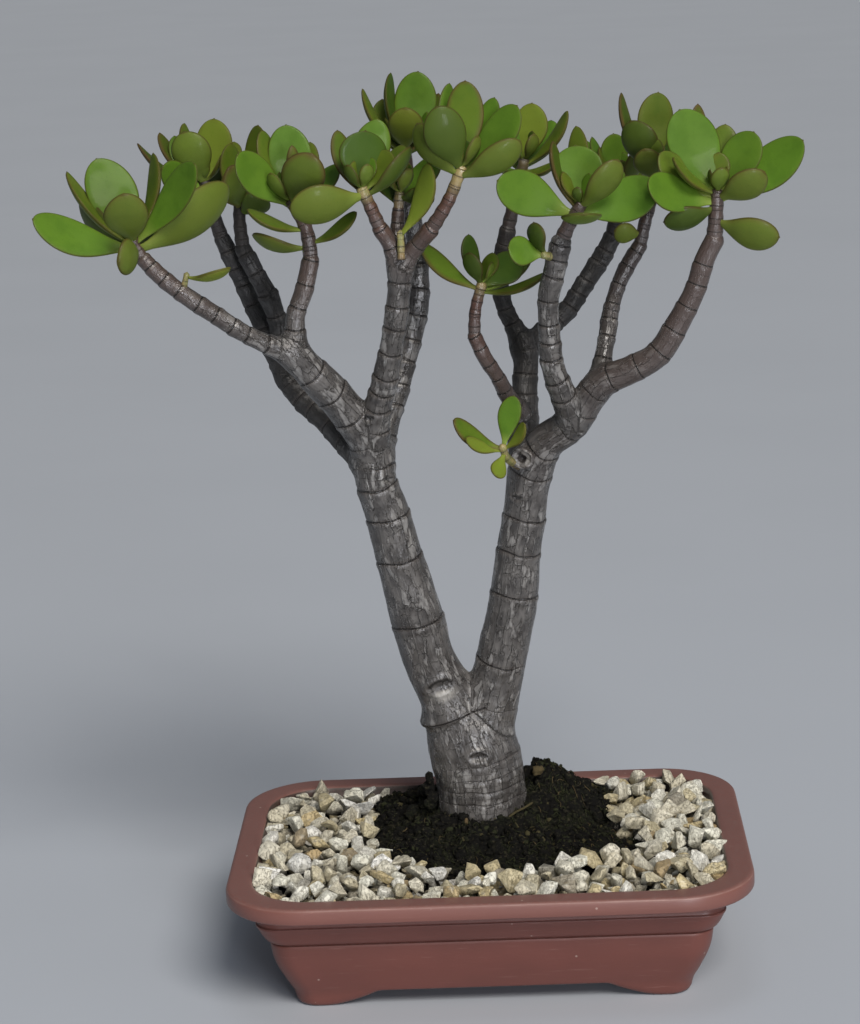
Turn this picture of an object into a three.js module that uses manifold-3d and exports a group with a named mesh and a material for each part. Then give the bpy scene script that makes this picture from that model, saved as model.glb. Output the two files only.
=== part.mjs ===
// A jade plant grown as a small V-trunked tree, in a shallow footed pot.
// Units are millimetres, +Z is up and +Y points away from the front of the pot.
// The parts are laid out round the middle of the pot, and the finished group is
// then moved so that its origin is the bottom centre of its bounding box.
import * as THREE from 'three';
import { mergeVertices } from 'three/addons/utils/BufferGeometryUtils.js';
import Module from 'manifold-3d';

// ---------------------------------------------------------------- driving dimensions
const RIM_WIDTH = 270;
const RIM_DEPTH = 200;
const RIM_CORNER = 41;
const POT_HEIGHT = 66;
const CORNER_SHRINK = 0.6; // how much of an inset also comes off the corner radius
const LIP_WIDTH = 13; // flat top of the rim
const FLOOR_Z = 11; // inside floor of the pot
const ARCH_HEIGHT = 6.5; // underside of the pot between its feet
const ARCH_EASE = 18; // length of the curve from a foot up to the underside
const ARCH_HALF_FRONT = 60; // flat half-width of the front and back arches
const ARCH_HALF_SIDE = 28;
const GAP = 0.3; // clearance between touching pieces
const SOCKET_GAP = 0.4; // clearance round the wood where it goes into the soil
const WALL_GAP = 0.5; // clearance between the pot's wall and what fills it
const BED_GAP = 0.6; // clearance round the sheet of gravel
const BED_Z = 54; // underside of the gravel
const BED_THICKNESS = 5;
const STONE_PITCH = 13.6;
const STONE_SIZE = 7; // mean half-size of a stone
const LEAF_BOW = 0.1; // sag of a leaf's midline, as a share of its length
const LEAF_THICKNESS = 4.6;
const ROOT_OFFSET = 1.4; // from a stem's axis to where a leaf's root starts inside it
const ROOT_DEPTH = 2; // least distance of a leaf's root below the tip of its stem
const BRANCH_SIDES = 6;
const LIMB_SIDES = 10;
const SEED = 7;

// Outer side of the pot from the ground up: [height, inset from the rim's outer edge].
const POT_OUTSIDE = [
  [0, 34], [1.5, 32.5], [9.5, 31.5], [11, 30.5], [16, 26], [24, 21], [32, 17.8], [40, 16],
  [46, 15.8], [46.6, 16.6], [47.2, 16.6], [47.6, 15.2], [49.5, 12.6], [52, 10.6], [54.5, 10],
  [57.6, 9.6], [57.8, 0.8], [58.8, 0], [64.4, 0], [65.6, 0.7], [POT_HEIGHT, 2.2],
];
// Inner side of the pot, from the rim down to the floor.
const POT_INSIDE = [
  [POT_HEIGHT, LIP_WIDTH], [64, 14], [56, 15.2], [46, 20], [32, 22], [24, 25], [16, 30], [FLOOR_Z, 36],
];

// Edge of the soil mound, counter-clockwise from above from its back left corner.
const MOUND_EDGE = [
  [-52, 82], [-60, 60], [-65, 36], [-63, 10], [-52, -18], [-36, -30], [-16, -44], [4, -50],
  [28, -40], [54, -38], [78, -24], [81, -4], [70, 16], [64, 40], [70, 62], [70, 82], [40, 82], [-10, 82],
];
const MOUND_CENTRE = [4, 24];
const MOUND_RINGS = [0.3, 0.55, 0.78, 1];
// Swellings of the mound: centre x, centre y, height, spread.
const MOUND_SWELLINGS = [[-4, 22, 15, 42], [34, 50, 24, 24], [-36, 44, 9, 18]];
const MOUND_EDGE_Z = 60;

// Wood: each limb is a list of [x, y, z, radius].
const TRUNK = [[-7, 28, 44, 25], [-6, 28, 62, 25], [-6, 28, 80, 24], [-6, 28, 101, 23], [-7, 28, 118, 21]];
const ROOTS = [
  [[8, 26, 98, 8], [18, 20, 88, 6], [23, 17, 72, 4]],
  [[-16, 30, 98, 8], [-28, 29, 86, 6], [-33, 28, 68, 4]],
  [[-2, 38, 92, 10], [-2, 54, 80, 7], [-2, 62, 66, 5]],
];
const LEFT_LIMB = [
  [-11, 28, 100, 19], [-17, 27, 130, 16], [-28, 22, 157, 14], [-33, 18, 180, 14], [-41, 12, 216, 12.4],
  [-46, 9, 241, 11.7], [-51, 6, 260, 10.7], [-52, 5, 276, 10], [-64, -4, 300, 9.5],
  [-76, -12, 317, 9.2], [-90, -20, 335, 7],
];
const RIGHT_LIMB = [
  [-2, 28, 100, 19], [4, 27, 130, 16], [8, 26, 146, 14], [13, 23, 169, 13.2], [18, 20, 192, 12.6],
  [21, 17, 215, 11.6], [25, 15, 236, 11.2], [29, 12, 259, 11], [37, 6, 276, 9.6], [51, -1, 288, 8.6],
  [66, -10, 309, 7.6], [82, -15, 317, 7], [95, -18, 325, 6.6], [105, -20, 340, 6],
  [114, -22, 357, 5.4], [119, -23, 372, 5.2], [124, -24, 382, 5],
];
const LEFT_BRANCHES = [
  [[-86, -17, 331, 6], [-109, -27, 344, 4.5], [-126, -32, 357, 4.5], [-140, -35, 368, 4.2],
    [-151, -36, 378, 4], [-158, -36, 386, 3.6]],
  [[-87, -18, 332, 6.5], [-86, -18, 351, 4.8], [-81, -16, 364, 4.7], [-77, -14, 379, 4.3]],
  [[-56, 8, 270, 8], [-74, 28, 287, 7.6], [-90, 42, 300, 7.4], [-102, 50, 320, 6.6],
    [-109, 52, 336, 5.4], [-115, 54, 349, 5.1], [-121, 56, 365, 5], [-128, 57, 381, 4.5]],
  [[-97, 46, 308, 6.5], [-100, 43, 337, 5.2], [-105, 40, 355, 4.8], [-111, 40, 368, 4.8],
    [-116, 42, 378, 4.5]],
  [[-54, 5, 272, 8.4], [-48, -4, 299, 7.3], [-43, -10, 316, 6.5], [-38, -16, 337, 5.9],
    [-34, -20, 358, 5.8], [-32, -22, 378, 5.4]],
  [[-32, -22, 374, 4.8], [-36, -24, 386, 4.1], [-41, -26, 395, 4]],
  [[-32, -22, 374, 4.8], [-23, -26, 386, 4.3], [-16, -30, 394, 4.3]],
  [[-32, -21, 375, 4.2], [-33, -15, 390, 3.5], [-32, -12, 402, 3.2]],
  [[-52, 8, 270, 8.4], [-43, 18, 294, 7.3], [-36, 26, 314, 6.6], [-30, 30, 331, 6.1],
    [-26, 32, 349, 5.8], [-25, 34, 364, 5.4], [-26, 34, 383, 5], [-28, 34, 398, 4.4]],
];
const RIGHT_BRANCHES = [
  [[52, -2, 288, 7.6], [47, -13, 305, 6.5], [42, -18, 321, 5.7], [41, -22, 339, 5.5],
    [41, -25, 356, 5.4], [44, -27, 369, 5.4], [48, -29, 385, 5.2]],
  [[64, -8, 306, 6.4], [68, -3, 320, 4.6], [71, 4, 333, 4.3], [74, 10, 347, 4.2], [80, 14, 361, 4],
    [89, 16, 375, 3.8]],
  [[28, 14, 260, 9.5], [26, 22, 275, 7.8], [27, 28, 287, 7.2], [28, 34, 302, 6.6], [29, 38, 314, 6.4],
    [28, 40, 324, 5.6]],
  [[28, 40, 320, 5.4], [23, 42, 332, 4.7], [19, 43, 341, 4.6], [17, 44, 353, 4.5], [18, 44, 366, 4.4],
    [22, 44, 382, 4.1]],
  [[28, 40, 319, 5.6], [40, 48, 328, 5.3], [51, 54, 336, 5.3], [60, 58, 348, 5.3], [71, 62, 363, 5],
    [77, 63, 374, 4.6]],
  [[27, 26, 284, 6], [19, 16, 299, 4.3], [14, 10, 311, 3.8], [8, 6, 322, 3.8], [3, 4, 334, 3.5]],
];
const PRUNED_KNOT = [[29, 12, 266, 8], [26, 4, 269, 6.4], [25, 1, 270, 5.4]];
const STUB = [[-103, 41, 350, 3], [-100, 36, 356, 1.6]];

// Leafy shoots. stem runs from the wood to the heart, with its radius at both ends. A leaf
// is [x, y, z of its tip from the heart, turn of its upper face to the front in degrees,
// width, distance of its root below the heart]. back is the number of leaves that the
// growth rule adds on the far side.
const SHOOTS = [
  { name: 'rosette_a', radius: [3.4, 3], back: 1,
    stem: [[-158, -36, 386], [-161, -36, 391], [-163, -36, 397]],
    leaves: [[-46, -14, 13, 50, 21, 4], [-18, 22, 37, 30, 25, 2], [-32, 14, 32, -10, 15, 3],
      [-29, 30, 15, -80, 17, 4], [1, -26, 25, 5, 22, 0], [11, 18, 39, -30, 14, 0],
      [35, -2, 34, 65, 21, 2], [47, 8, 24, -65, 27, 4], [-2, -22, -11, -90, 15, 5]] },
  { name: 'rosette_b', radius: [4, 3.2], back: 2,
    stem: [[-128, 57, 381], [-132, 55, 396], [-135, 50, 413]],
    leaves: [[-32, -10, 22, 20, 12, 3], [-24, 20, 24, -10, 13, 2], [-11, 24, 28, -40, 14, 2],
      [-8, -8, 27, -40, 21, 0], [6, 12, 31, 10, 21, 0], [-19, -20, 10, 90, 16, 4]] },
  { name: 'rosette_c', radius: [4, 3], back: 2,
    stem: [[-77, -14, 379], [-78, -13, 392], [-81, -12, 400], [-86, -12, 409]],
    leaves: [[-24, -10, 25, 70, 20, 2], [-13, 14, 34, -5, 16, 2], [-1, 16, 36, 0, 22, 0],
      [3, -6, 28, 10, 8, 0], [10, 24, 26, -10, 13, 3], [14, -20, 25, -40, 22, 1],
      [-21, -6, -3, 15, 15, 15], [-20, 4, -17, -35, 15, 24], [33, -2, -7, 20, 14, 22],
      [30, 8, 1, 5, 14, 12]] },
  { name: 'rosette_d', radius: [3.7, 3], back: 1,
    stem: [[-41, -26, 395], [-45, -28, 406], [-49, -30, 416]],
    leaves: [[3, 8, 27, 35, 25, 1], [9, 22, 31, 25, 19, 2], [14, 8, 17, 20, 17, 0],
      [25, 2, 19, -30, 16, 3], [-12, 26, 26, 0, 13, 3], [-35, -12, -7, -70, 22, 2]] },
  { name: 'rosette_e', radius: [4, 3], back: 2,
    stem: [[-28, 34, 398], [-28, 33, 413], [-29, 32, 429]],
    leaves: [[-20, -4, 30, 20, 13, 3], [-6, 14, 36, -50, 13, 1], [8, 16, 36, 25, 22, 0],
      [2, -16, 21, -5, 18, 0], [18, 20, 24, 5, 13, 3]] },
  { name: 'rosette_f', radius: [3.9, 2.9], back: 1,
    stem: [[-16, -30, 394], [-11, -32, 401], [-5, -33, 411], [1, -34, 425]],
    leaves: [[3, 16, 40, 5, 19, 0], [-11, -14, 31, -45, 21, 0], [-21, -2, 22, -40, 20, 3],
      [17, 18, 31, 20, 14, 1], [28, 4, 28, 45, 20, 2], [29, -8, 12, -55, 17, 4],
      [-5, 28, 38, -35, 13, 2]] },
  { name: 'rosette_g', radius: [3.8, 3], back: 2,
    stem: [[22, 44, 382], [27, 44, 400], [32, 44, 418]],
    leaves: [[5, 8, 28, 15, 19, 0], [23, -2, 24, 20, 14, 2], [-13, -16, -1, 25, 13, 4],
      [15, -14, -2, 20, 13, 4]] },
  { name: 'rosette_h', radius: [4.2, 3], back: 1,
    stem: [[48, -29, 385], [53, -31, 395], [59, -32, 404]],
    leaves: [[-41, -8, 14, 80, 22, 5], [-2, 14, 27, 5, 25, 0], [-13, 10, 30, -20, 15, 2],
      [-1, 28, 35, -30, 13, 2], [18, -10, 22, -35, 17, 1], [38, 2, 7, 65, 23, 5], [0, -28, -1, 0, 20, 4]] },
  { name: 'rosette_i', radius: [4.4, 3.2], back: 1,
    stem: [[124, -24, 382], [125, -25, 394], [126, -26, 407]],
    leaves: [[-17, 12, 39, 45, 26, 0], [-28, 2, 19, 45, 18, 2], [-22, -10, 18, 30, 14, 0],
      [-35, -17, 7, 65, 20, 4], [-27, -4, -14, -50, 17, 6], [-7, 26, 40, -20, 12, 2],
      [6, 20, 30, 10, 17, 1], [19, 8, 27, 40, 21, 0], [42, -2, 23, 55, 24, 3],
      [22, -14, 10, -50, 18, 2], [29, -10, -23, -65, 19, 13]] },
  { name: 'rosette_j', radius: [3.6, 2.8], back: 1,
    stem: [[89, 16, 375], [92, 16, 387], [96, 16, 400], [98, 16, 416]],
    leaves: [[3, 12, 35, 30, 19, 0], [-16, 6, 36, 5, 12, 2], [-12, -4, 23, -45, 20, 2],
      [-6, -16, 10, -10, 15, 6], [-22, -6, -32, -65, 12, 34]] },
  { name: 'rosette_k', radius: [3.4, 2.8], back: 1,
    stem: [[3, 4, 334], [4, 4, 347], [8, 4, 361]],
    leaves: [[-30, -8, 22, 45, 14, 2], [-6, 14, 23, -15, 11, 0], [20, 8, 12, 50, 18, 0],
      [33, -6, 5, 10, 13, 3]] },
  { name: 'rosette_l', radius: [2.6, 2], back: 0,
    stem: [[27, 8, 267], [20, -5, 273], [15, -10, 279]],
    leaves: [[-24, -8, 16, 45, 14, 1], [-18, -14, 7, 50, 9, 2], [7, 4, 24, 20, 13, 0],
      [12, -6, 12, 50, 11, 1], [-3, -14, -13, 35, 9, 3]] },
  { name: 'rosette_m', radius: [4, 3], back: 1,
    stem: [[-116, 42, 378], [-117, 43, 390], [-117, 44, 402]],
    leaves: [[-2, -22, 21, -50, 18, 1], [14, -6, 4, -40, 18, 4], [12, 4, 39, 30, 16, 0],
      [-3, 8, 30, -30, 16, 0]] },
  { name: 'rosette_n', radius: [3, 2.6], back: 2,
    stem: [[-32, -12, 402], [-31, -12, 411]],
    leaves: [[17, -10, 0, -50, 14, 1]] },
  { name: 'rosette_o', radius: [4.3, 3], back: 2,
    stem: [[77, 63, 374], [80, 63, 388], [82, 62, 403]],
    leaves: [[-3, 4, 24, 20, 15, 0], [-14, 10, 22, -5, 12, 2], [10, -10, 18, 0, 15, 2]] },
  { name: 'leaf_pair', radius: [2.4, 2], back: 0,
    stem: [[46, -28, 377], [39, -35, 380]],
    leaves: [[-17, -4, 5, 60, 16, 0], [-4, 1, 16, -30, 15, 0]] },
  { name: 'leaf_left', radius: [1.7, 1.5], back: 0,
    stem: [[-140, -35, 368], [-137, -38, 378]],
    leaves: [[22, -4, 3, -20, 13, 0]] },
  { name: 'leaf_front', radius: [2, 1.8], back: 0,
    stem: [[-31, -30, 381], [-31, -29, 388], [-31, -28, 393]],
    leaves: [[16, -6, 34, 60, 15, 0]] },
];

const MATERIALS = {
  pot: new THREE.MeshStandardMaterial({ color: 0x85493f, roughness: 0.42, metalness: 0 }),
  soil: new THREE.MeshStandardMaterial({ color: 0x231f19, roughness: 0.95, metalness: 0 }),
  gravel: new THREE.MeshStandardMaterial({ color: 0xcbbfa6, roughness: 0.75, metalness: 0 }),
  wood: new THREE.MeshStandardMaterial({ color: 0x6b625b, roughness: 0.6, metalness: 0 }),
  leaf: new THREE.MeshStandardMaterial({ color: 0x5c9425, roughness: 0.3, metalness: 0 }),
};

// ---------------------------------------------------------------- closed meshes
const wasm = await Module();
wasm.setup();

/** A seeded random generator of numbers from 0 to 1. */
function seeded(seed) {
  let state = seed;
  return () => {
    state = (state * 1664525 + 1013904223) % 4294967296;
    return state / 4294967296;
  };
}

/** Turns a closed three.js geometry into a solid that can be joined and cut. */
function solidOf(geometry) {
  const bare = geometry.clone();
  bare.deleteAttribute('normal');
  bare.deleteAttribute('uv');
  const merged = mergeVertices(bare, 1e-4);
  return new wasm.Manifold(new wasm.Mesh({
    numProp: 3,
    vertProperties: new Float32Array(merged.attributes.position.array),
    triVerts: new Uint32Array(merged.index.array),
  }));
}

/** Turns a solid back into a named three.js mesh. */
function meshOf(name, solid, material) {
  const data = solid.getMesh();
  const geometry = new THREE.BufferGeometry();
  geometry.setAttribute('position', new THREE.BufferAttribute(new Float32Array(data.vertProperties), 3));
  geometry.setIndex(new THREE.BufferAttribute(new Uint32Array(data.triVerts), 1));
  geometry.computeVertexNormals();
  const mesh = new THREE.Mesh(geometry, material);
  mesh.name = name;
  return mesh;
}

/** Joins rings of equal point count into one closed skin, with a fan at each end. */
function loft(rings, apex = null) {
  const count = rings[0].length;
  const positions = rings.flat().flatMap((point) => [point.x, point.y, point.z]);
  const index = [];
  for (let ring = 0; ring < rings.length - 1; ring += 1) {
    for (let i = 0; i < count; i += 1) {
      const a = ring * count + i;
      const b = ring * count + ((i + 1) % count);
      index.push(a, b, b + count, a, b + count, a + count);
    }
  }
  const caps = [[rings[0], 0, true], [rings.at(-1), (rings.length - 1) * count, false]];
  for (const [ring, start, first] of caps) {
    const middle = new THREE.Vector3();
    ring.forEach((point) => middle.addScaledVector(point, 1 / count));
    if (apex && !first) middle.copy(apex);
    const hub = positions.length / 3;
    positions.push(middle.x, middle.y, middle.z);
    for (let i = 0; i < count; i += 1) {
      const a = start + i;
      const b = start + ((i + 1) % count);
      index.push(...(first ? [hub, b, a] : [hub, a, b]));
    }
  }
  const geometry = new THREE.BufferGeometry();
  geometry.setAttribute('position', new THREE.Float32BufferAttribute(positions, 3));
  geometry.setIndex(index);
  return geometry;
}

/** A level rounded rectangle inside the rim's outline, counter-clockwise from above. */
function rimRing(height, inset, cornerSteps = 4) {
  const radius = RIM_CORNER - CORNER_SHRINK * inset;
  const x = RIM_WIDTH / 2 - inset - radius;
  const y = RIM_DEPTH / 2 - inset - radius;
  const corners = [[x, y], [-x, y], [-x, -y], [x, -y]];
  return corners.flatMap(([cx, cy], quarter) => Array.from({ length: cornerSteps + 1 }, (_, step) => {
    const angle = (quarter + step / cornerSteps) * Math.PI / 2;
    return new THREE.Vector3(cx + radius * Math.cos(angle), cy + radius * Math.sin(angle), height);
  }));
}

/** A round bar through [x, y, z, radius] points, on a smooth curve; grow adds clearance. */
function bar(points, sides, grow = 0) {
  const curve = new THREE.CatmullRomCurve3(points.map(([x, y, z]) => new THREE.Vector3(x, y, z)));
  const count = points.length - 1;
  const across = new THREE.Vector3(1, 0.2, 0);
  const rings = [];
  for (let i = 0; i <= count; i += 1) {
    const radius = points[i][3] + grow;
    const along = curve.getTangent(i / count);
    const centre = curve.getPoint(i / count);
    const end = (i === count ? 1 : 0) - (i === 0 ? 1 : 0);
    centre.addScaledVector(along, end * grow);
    across.addScaledVector(along, -across.dot(along)).normalize();
    const other = along.clone().cross(across);
    rings.push(Array.from({ length: sides }, (_, side) => {
      const angle = side / sides * Math.PI * 2;
      return centre.clone()
        .addScaledVector(across, radius * Math.cos(angle))
        .addScaledVector(other, radius * Math.sin(angle));
    }));
  }
  return solidOf(loft(rings));
}

/** Joins a list of solids into one. */
const joined = (solids) => solids.reduce((whole, next) => whole.add(next));

/** The largest body of a solid: the scraps that a cut left loose are dropped. */
const mainBody = (solid) => solid.decompose().reduce((a, b) => (b.volume() > a.volume() ? b : a));

// ---------------------------------------------------------------- pot
/** The outline of the hollow under the pot: flat on top, easing down to the feet. */
function archShape(halfWidth) {
  const shape = new THREE.Shape();
  const steps = 6;
  const foot = halfWidth + ARCH_EASE;
  shape.moveTo(-foot, -1);
  for (let i = 0; i <= steps; i += 1) {
    const rise = (1 - Math.cos(i / steps * Math.PI)) / 2;
    shape.lineTo(-foot + ARCH_EASE * i / steps, ARCH_HEIGHT * rise);
  }
  for (let i = 0; i <= steps; i += 1) {
    const rise = (1 + Math.cos(i / steps * Math.PI)) / 2;
    shape.lineTo(halfWidth + ARCH_EASE * i / steps, ARCH_HEIGHT * rise);
  }
  shape.lineTo(foot, -1);
  shape.closePath();
  return shape;
}

/** The hollow under the pot, running from front to back or from side to side. */
function archTunnel(halfWidth, sideways) {
  const length = RIM_WIDTH;
  const geometry = new THREE.ExtrudeGeometry(archShape(halfWidth), { depth: length, bevelEnabled: false });
  geometry.translate(0, 0, -length / 2);
  geometry.rotateX(Math.PI / 2);
  if (sideways) geometry.rotateZ(Math.PI / 2);
  return solidOf(geometry);
}

function makePot() {
  const rings = [...POT_OUTSIDE, ...POT_INSIDE].map(([height, inset]) => rimRing(height, inset));
  const body = solidOf(loft(rings));
  return body.subtract(archTunnel(ARCH_HALF_FRONT, false)).subtract(archTunnel(ARCH_HALF_SIDE, true));
}

/** Inset of the pot's inner wall at a height; above the rim it stays as it is at the rim. */
function wallInset(height) {
  for (let i = 0; i < POT_INSIDE.length - 1; i += 1) {
    const [high, insetHigh] = POT_INSIDE[i];
    const [low, insetLow] = POT_INSIDE[i + 1];
    if (height <= high && height >= low) {
      return insetHigh + (insetLow - insetHigh) * (high - height) / (high - low);
    }
  }
  return POT_INSIDE[1][1];
}

/** What fills the pot's inside between the given heights, clear of its wall. */
function cavity(heights) {
  return solidOf(loft(heights.map((z) => rimRing(z, wallInset(z) + WALL_GAP))));
}

// ---------------------------------------------------------------- soil
/** Height of the mound over a point of its plan. */
function moundHeight(x, y) {
  const lift = MOUND_SWELLINGS.reduce((sum, [cx, cy, height, spread]) => {
    const distance = Math.hypot(x - cx, y - cy) / spread;
    return sum + height * Math.exp(-distance * distance);
  }, 0);
  return MOUND_EDGE_Z + lift;
}

/** The mound's edge as a smooth loop, pushed outwards by grow. */
function moundLoop(grow, count = 32) {
  const corners = MOUND_EDGE.map(([x, y]) => new THREE.Vector3(x, y, 0));
  const loop = new THREE.CatmullRomCurve3(corners, true);
  return Array.from({ length: count }, (_, i) => {
    const point = loop.getPoint(i / count);
    const away = point.clone().sub(new THREE.Vector3(MOUND_CENTRE[0], MOUND_CENTRE[1], 0)).normalize();
    return point.addScaledVector(away, grow);
  });
}

function makeMound() {
  const edge = moundLoop(0);
  const centre = new THREE.Vector3(MOUND_CENTRE[0], MOUND_CENTRE[1], 0);
  const foot = edge.map((point) => new THREE.Vector3(point.x, point.y, BED_Z - 6));
  const edgeTop = edge.map((point) => new THREE.Vector3(point.x, point.y, MOUND_EDGE_Z));
  const upper = [...MOUND_RINGS].reverse().slice(1).map((share) => edge.map((point) => {
    const place = centre.clone().lerp(point, share);
    place.z = moundHeight(place.x, place.y);
    return place;
  }));
  const peak = upper.at(-1).map((point) => {
    const place = new THREE.Vector3(centre.x, centre.y, 0).lerp(point, 0.3);
    place.z = moundHeight(place.x, place.y);
    return place;
  });
  return solidOf(loft([foot, edgeTop, ...upper, peak]));
}

function makeSoil() {
  const heights = [FLOOR_Z + GAP, 16, 24, 32, 46, BED_Z - GAP];
  const block = cavity(heights);
  const mound = makeMound().intersect(cavity([BED_Z - 8, 56, 64, POT_HEIGHT + 40]));
  const rootSockets = ROOTS.map((root) => bar(root, BRANCH_SIDES, SOCKET_GAP));
  const sockets = joined([bar(TRUNK, LIMB_SIDES, SOCKET_GAP), ...rootSockets]);
  return block.add(mound).subtract(sockets);
}

// ---------------------------------------------------------------- gravel
/** A crushed stone: a rough ball with a few flats, turned at random. */
function stone(x, y, z, random) {
  const geometry = new THREE.IcosahedronGeometry(1, 0);
  geometry.deleteAttribute('normal');
  geometry.deleteAttribute('uv');
  const rough = mergeVertices(geometry);
  const place = rough.attributes.position;
  for (let i = 0; i < place.count; i += 1) {
    const push = 0.82 + 0.36 * random();
    place.setXYZ(i, place.getX(i) * push, place.getY(i) * push, place.getZ(i) * push);
  }
  const size = STONE_SIZE * (0.85 + 0.3 * random());
  rough.scale(size * (0.95 + 0.25 * random()), size * 0.95, size * (0.62 + 0.2 * random()));
  rough.rotateX((random() - 0.5) * 0.8);
  rough.rotateZ(random() * Math.PI * 2);
  rough.translate(x, y, z);
  return solidOf(rough);
}

/** True where a point of the plan lies outside the mound and inside the pot's wall. */
function onGravel(x, y, moundEdge, reach) {
  const inset = wallInset(BED_Z) + reach;
  const radius = RIM_CORNER - CORNER_SHRINK * inset;
  const dx = Math.max(Math.abs(x) - (RIM_WIDTH / 2 - inset - radius), 0);
  const dy = Math.max(Math.abs(y) - (RIM_DEPTH / 2 - inset - radius), 0);
  if (Math.hypot(dx, dy) > radius) return false;
  let inside = false;
  moundEdge.forEach((a, i) => {
    const b = moundEdge[(i + 1) % moundEdge.length];
    const crosses = (a.y > y) !== (b.y > y);
    if (crosses && x < a.x + (b.x - a.x) * (y - a.y) / (b.y - a.y)) inside = !inside;
  });
  return !inside;
}

function makeGravel() {
  const random = seeded(SEED);
  const top = BED_Z + BED_THICKNESS;
  const bedInset = wallInset(BED_Z) + BED_GAP;
  const bed = solidOf(loft([BED_Z, top].map((z) => rimRing(z, bedInset))));
  const opening = moundLoop(BED_GAP).map((point) => {
    const behind = point.y > 78;
    return new THREE.Vector3(point.x, behind ? RIM_DEPTH / 2 : point.y, 0);
  });
  const levels = [BED_Z - 4, POT_HEIGHT + 20];
  const cutter = solidOf(loft(levels.map((z) => opening.map((point) => point.clone().setZ(z)))));
  const keepOut = moundLoop(STONE_SIZE);
  const stones = [];
  const rows = Math.ceil(RIM_DEPTH / STONE_PITCH);
  const columns = Math.ceil(RIM_WIDTH / STONE_PITCH);
  for (let row = -rows / 2; row <= rows / 2; row += 1) {
    for (let column = -columns / 2; column <= columns / 2; column += 1) {
      const shift = (row % 2) * STONE_PITCH / 2;
      const x = column * STONE_PITCH + shift + (random() - 0.5) * 3;
      const y = row * STONE_PITCH * 0.9 + (random() - 0.5) * 3;
      const z = top + (random() - 0.4) * 2;
      if (onGravel(x, y, keepOut, STONE_SIZE + 1)) stones.push(stone(x, y, z, random));
    }
  }
  return joined([bed, ...stones]).subtract(cutter).intersect(cavity([BED_Z, 56, 64, POT_HEIGHT + 20]));
}

// ---------------------------------------------------------------- wood
/** Thick limbs and thin branches in one piece, thicker all over by grow. */
function makeWood(limbs, branches, grow) {
  const thick = limbs.map((points) => bar(points, LIMB_SIDES, grow));
  const thin = branches.map((points) => bar(points, BRANCH_SIDES, grow));
  return joined([...thick, ...thin]);
}

/** The trunk with its roots and everything that grows from the left limb. */
function makeTrunk(grow = 0) {
  return makeWood([TRUNK, LEFT_LIMB], [...ROOTS, ...LEFT_BRANCHES, STUB], grow);
}

/** The right limb with its branches, before its foot is cut to sit on the trunk. */
function makeRightLimb(grow = 0) {
  return makeWood([RIGHT_LIMB], [...RIGHT_BRANCHES, PRUNED_KNOT], grow);
}

// ---------------------------------------------------------------- leaves
/** Half-width of a leaf at a share u of its length, as a share of its widest. */
function leafOutline(u) {
  const widest = 0.62;
  if (u < widest) {
    const rise = Math.max(u - 0.06, 0) / (widest - 0.06);
    return 0.2 + 0.8 * Math.sin(rise * Math.PI / 2) ** 1.3;
  }
  return (1 - ((u - widest) / (1 - widest)) ** 2.1) ** 0.55;
}

/** A thick leaf from its root to its tip, its upper face turned to the front by degrees. */
function leaf(root, tip, turn, width) {
  const along = tip.clone().sub(root);
  const length = along.length();
  along.normalize();
  const up = new THREE.Vector3(0, 0, 1);
  const level = up.addScaledVector(along, -up.dot(along)).normalize();
  const front = along.clone().cross(level);
  if (front.y > 0) front.negate();
  const angle = THREE.MathUtils.degToRad(turn);
  const face = level.multiplyScalar(Math.cos(angle)).addScaledVector(front, Math.sin(angle));
  const side = face.clone().cross(along).normalize();
  const thickness = Math.min(LEAF_THICKNESS, 1 + width * 0.2) / 2;
  const stations = [0, 0.3, 0.62, 0.9];
  const section = [[1, 0], [0.55, 0.9], [-0.55, 0.9], [-1, 0], [-0.55, -0.9], [0.55, -0.9]];
  const rings = stations.map((u) => {
    const wide = Math.max(leafOutline(u) * width / 2, 1.2);
    const thick = thickness * Math.min(1, 0.45 + 1.4 * u) * Math.min(1, 0.35 + 2.2 * (1 - u));
    const centre = root.clone().addScaledVector(along, u * length)
      .addScaledVector(face, -LEAF_BOW * length * 4 * u * (1 - u));
    return section.map(([across, over]) => centre.clone()
      .addScaledVector(side, across * wide)
      .addScaledVector(face, over * thick));
  });
  return solidOf(loft(rings, tip));
}

/** The point a given distance below the heart on a shoot's stem. */
function alongStem(stem, drop) {
  let left = drop;
  for (let i = stem.length - 1; i > 0; i -= 1) {
    const span = stem[i].distanceTo(stem[i - 1]);
    if (left <= span) return stem[i].clone().lerp(stem[i - 1], left / span);
    left -= span;
  }
  return stem[0].clone();
}

/** Leaves on the far side of a shoot: crossed pairs that open and shorten towards the top. */
function backLeaves(count, random) {
  return Array.from({ length: count }, (_, i) => {
    const azimuth = (55 + 70 * (i % 2) + 20 * (random() - 0.5)) * Math.PI / 180;
    const rise = (20 + 12 * i + 10 * random()) * Math.PI / 180;
    const length = 34 - 3 * i + 4 * random();
    const level = Math.cos(rise) * length;
    const tip = [Math.cos(azimuth) * level, Math.sin(azimuth) * level, Math.sin(rise) * length];
    return [...tip, 0, length * 0.5, 3 + 2 * i];
  });
}

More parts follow.
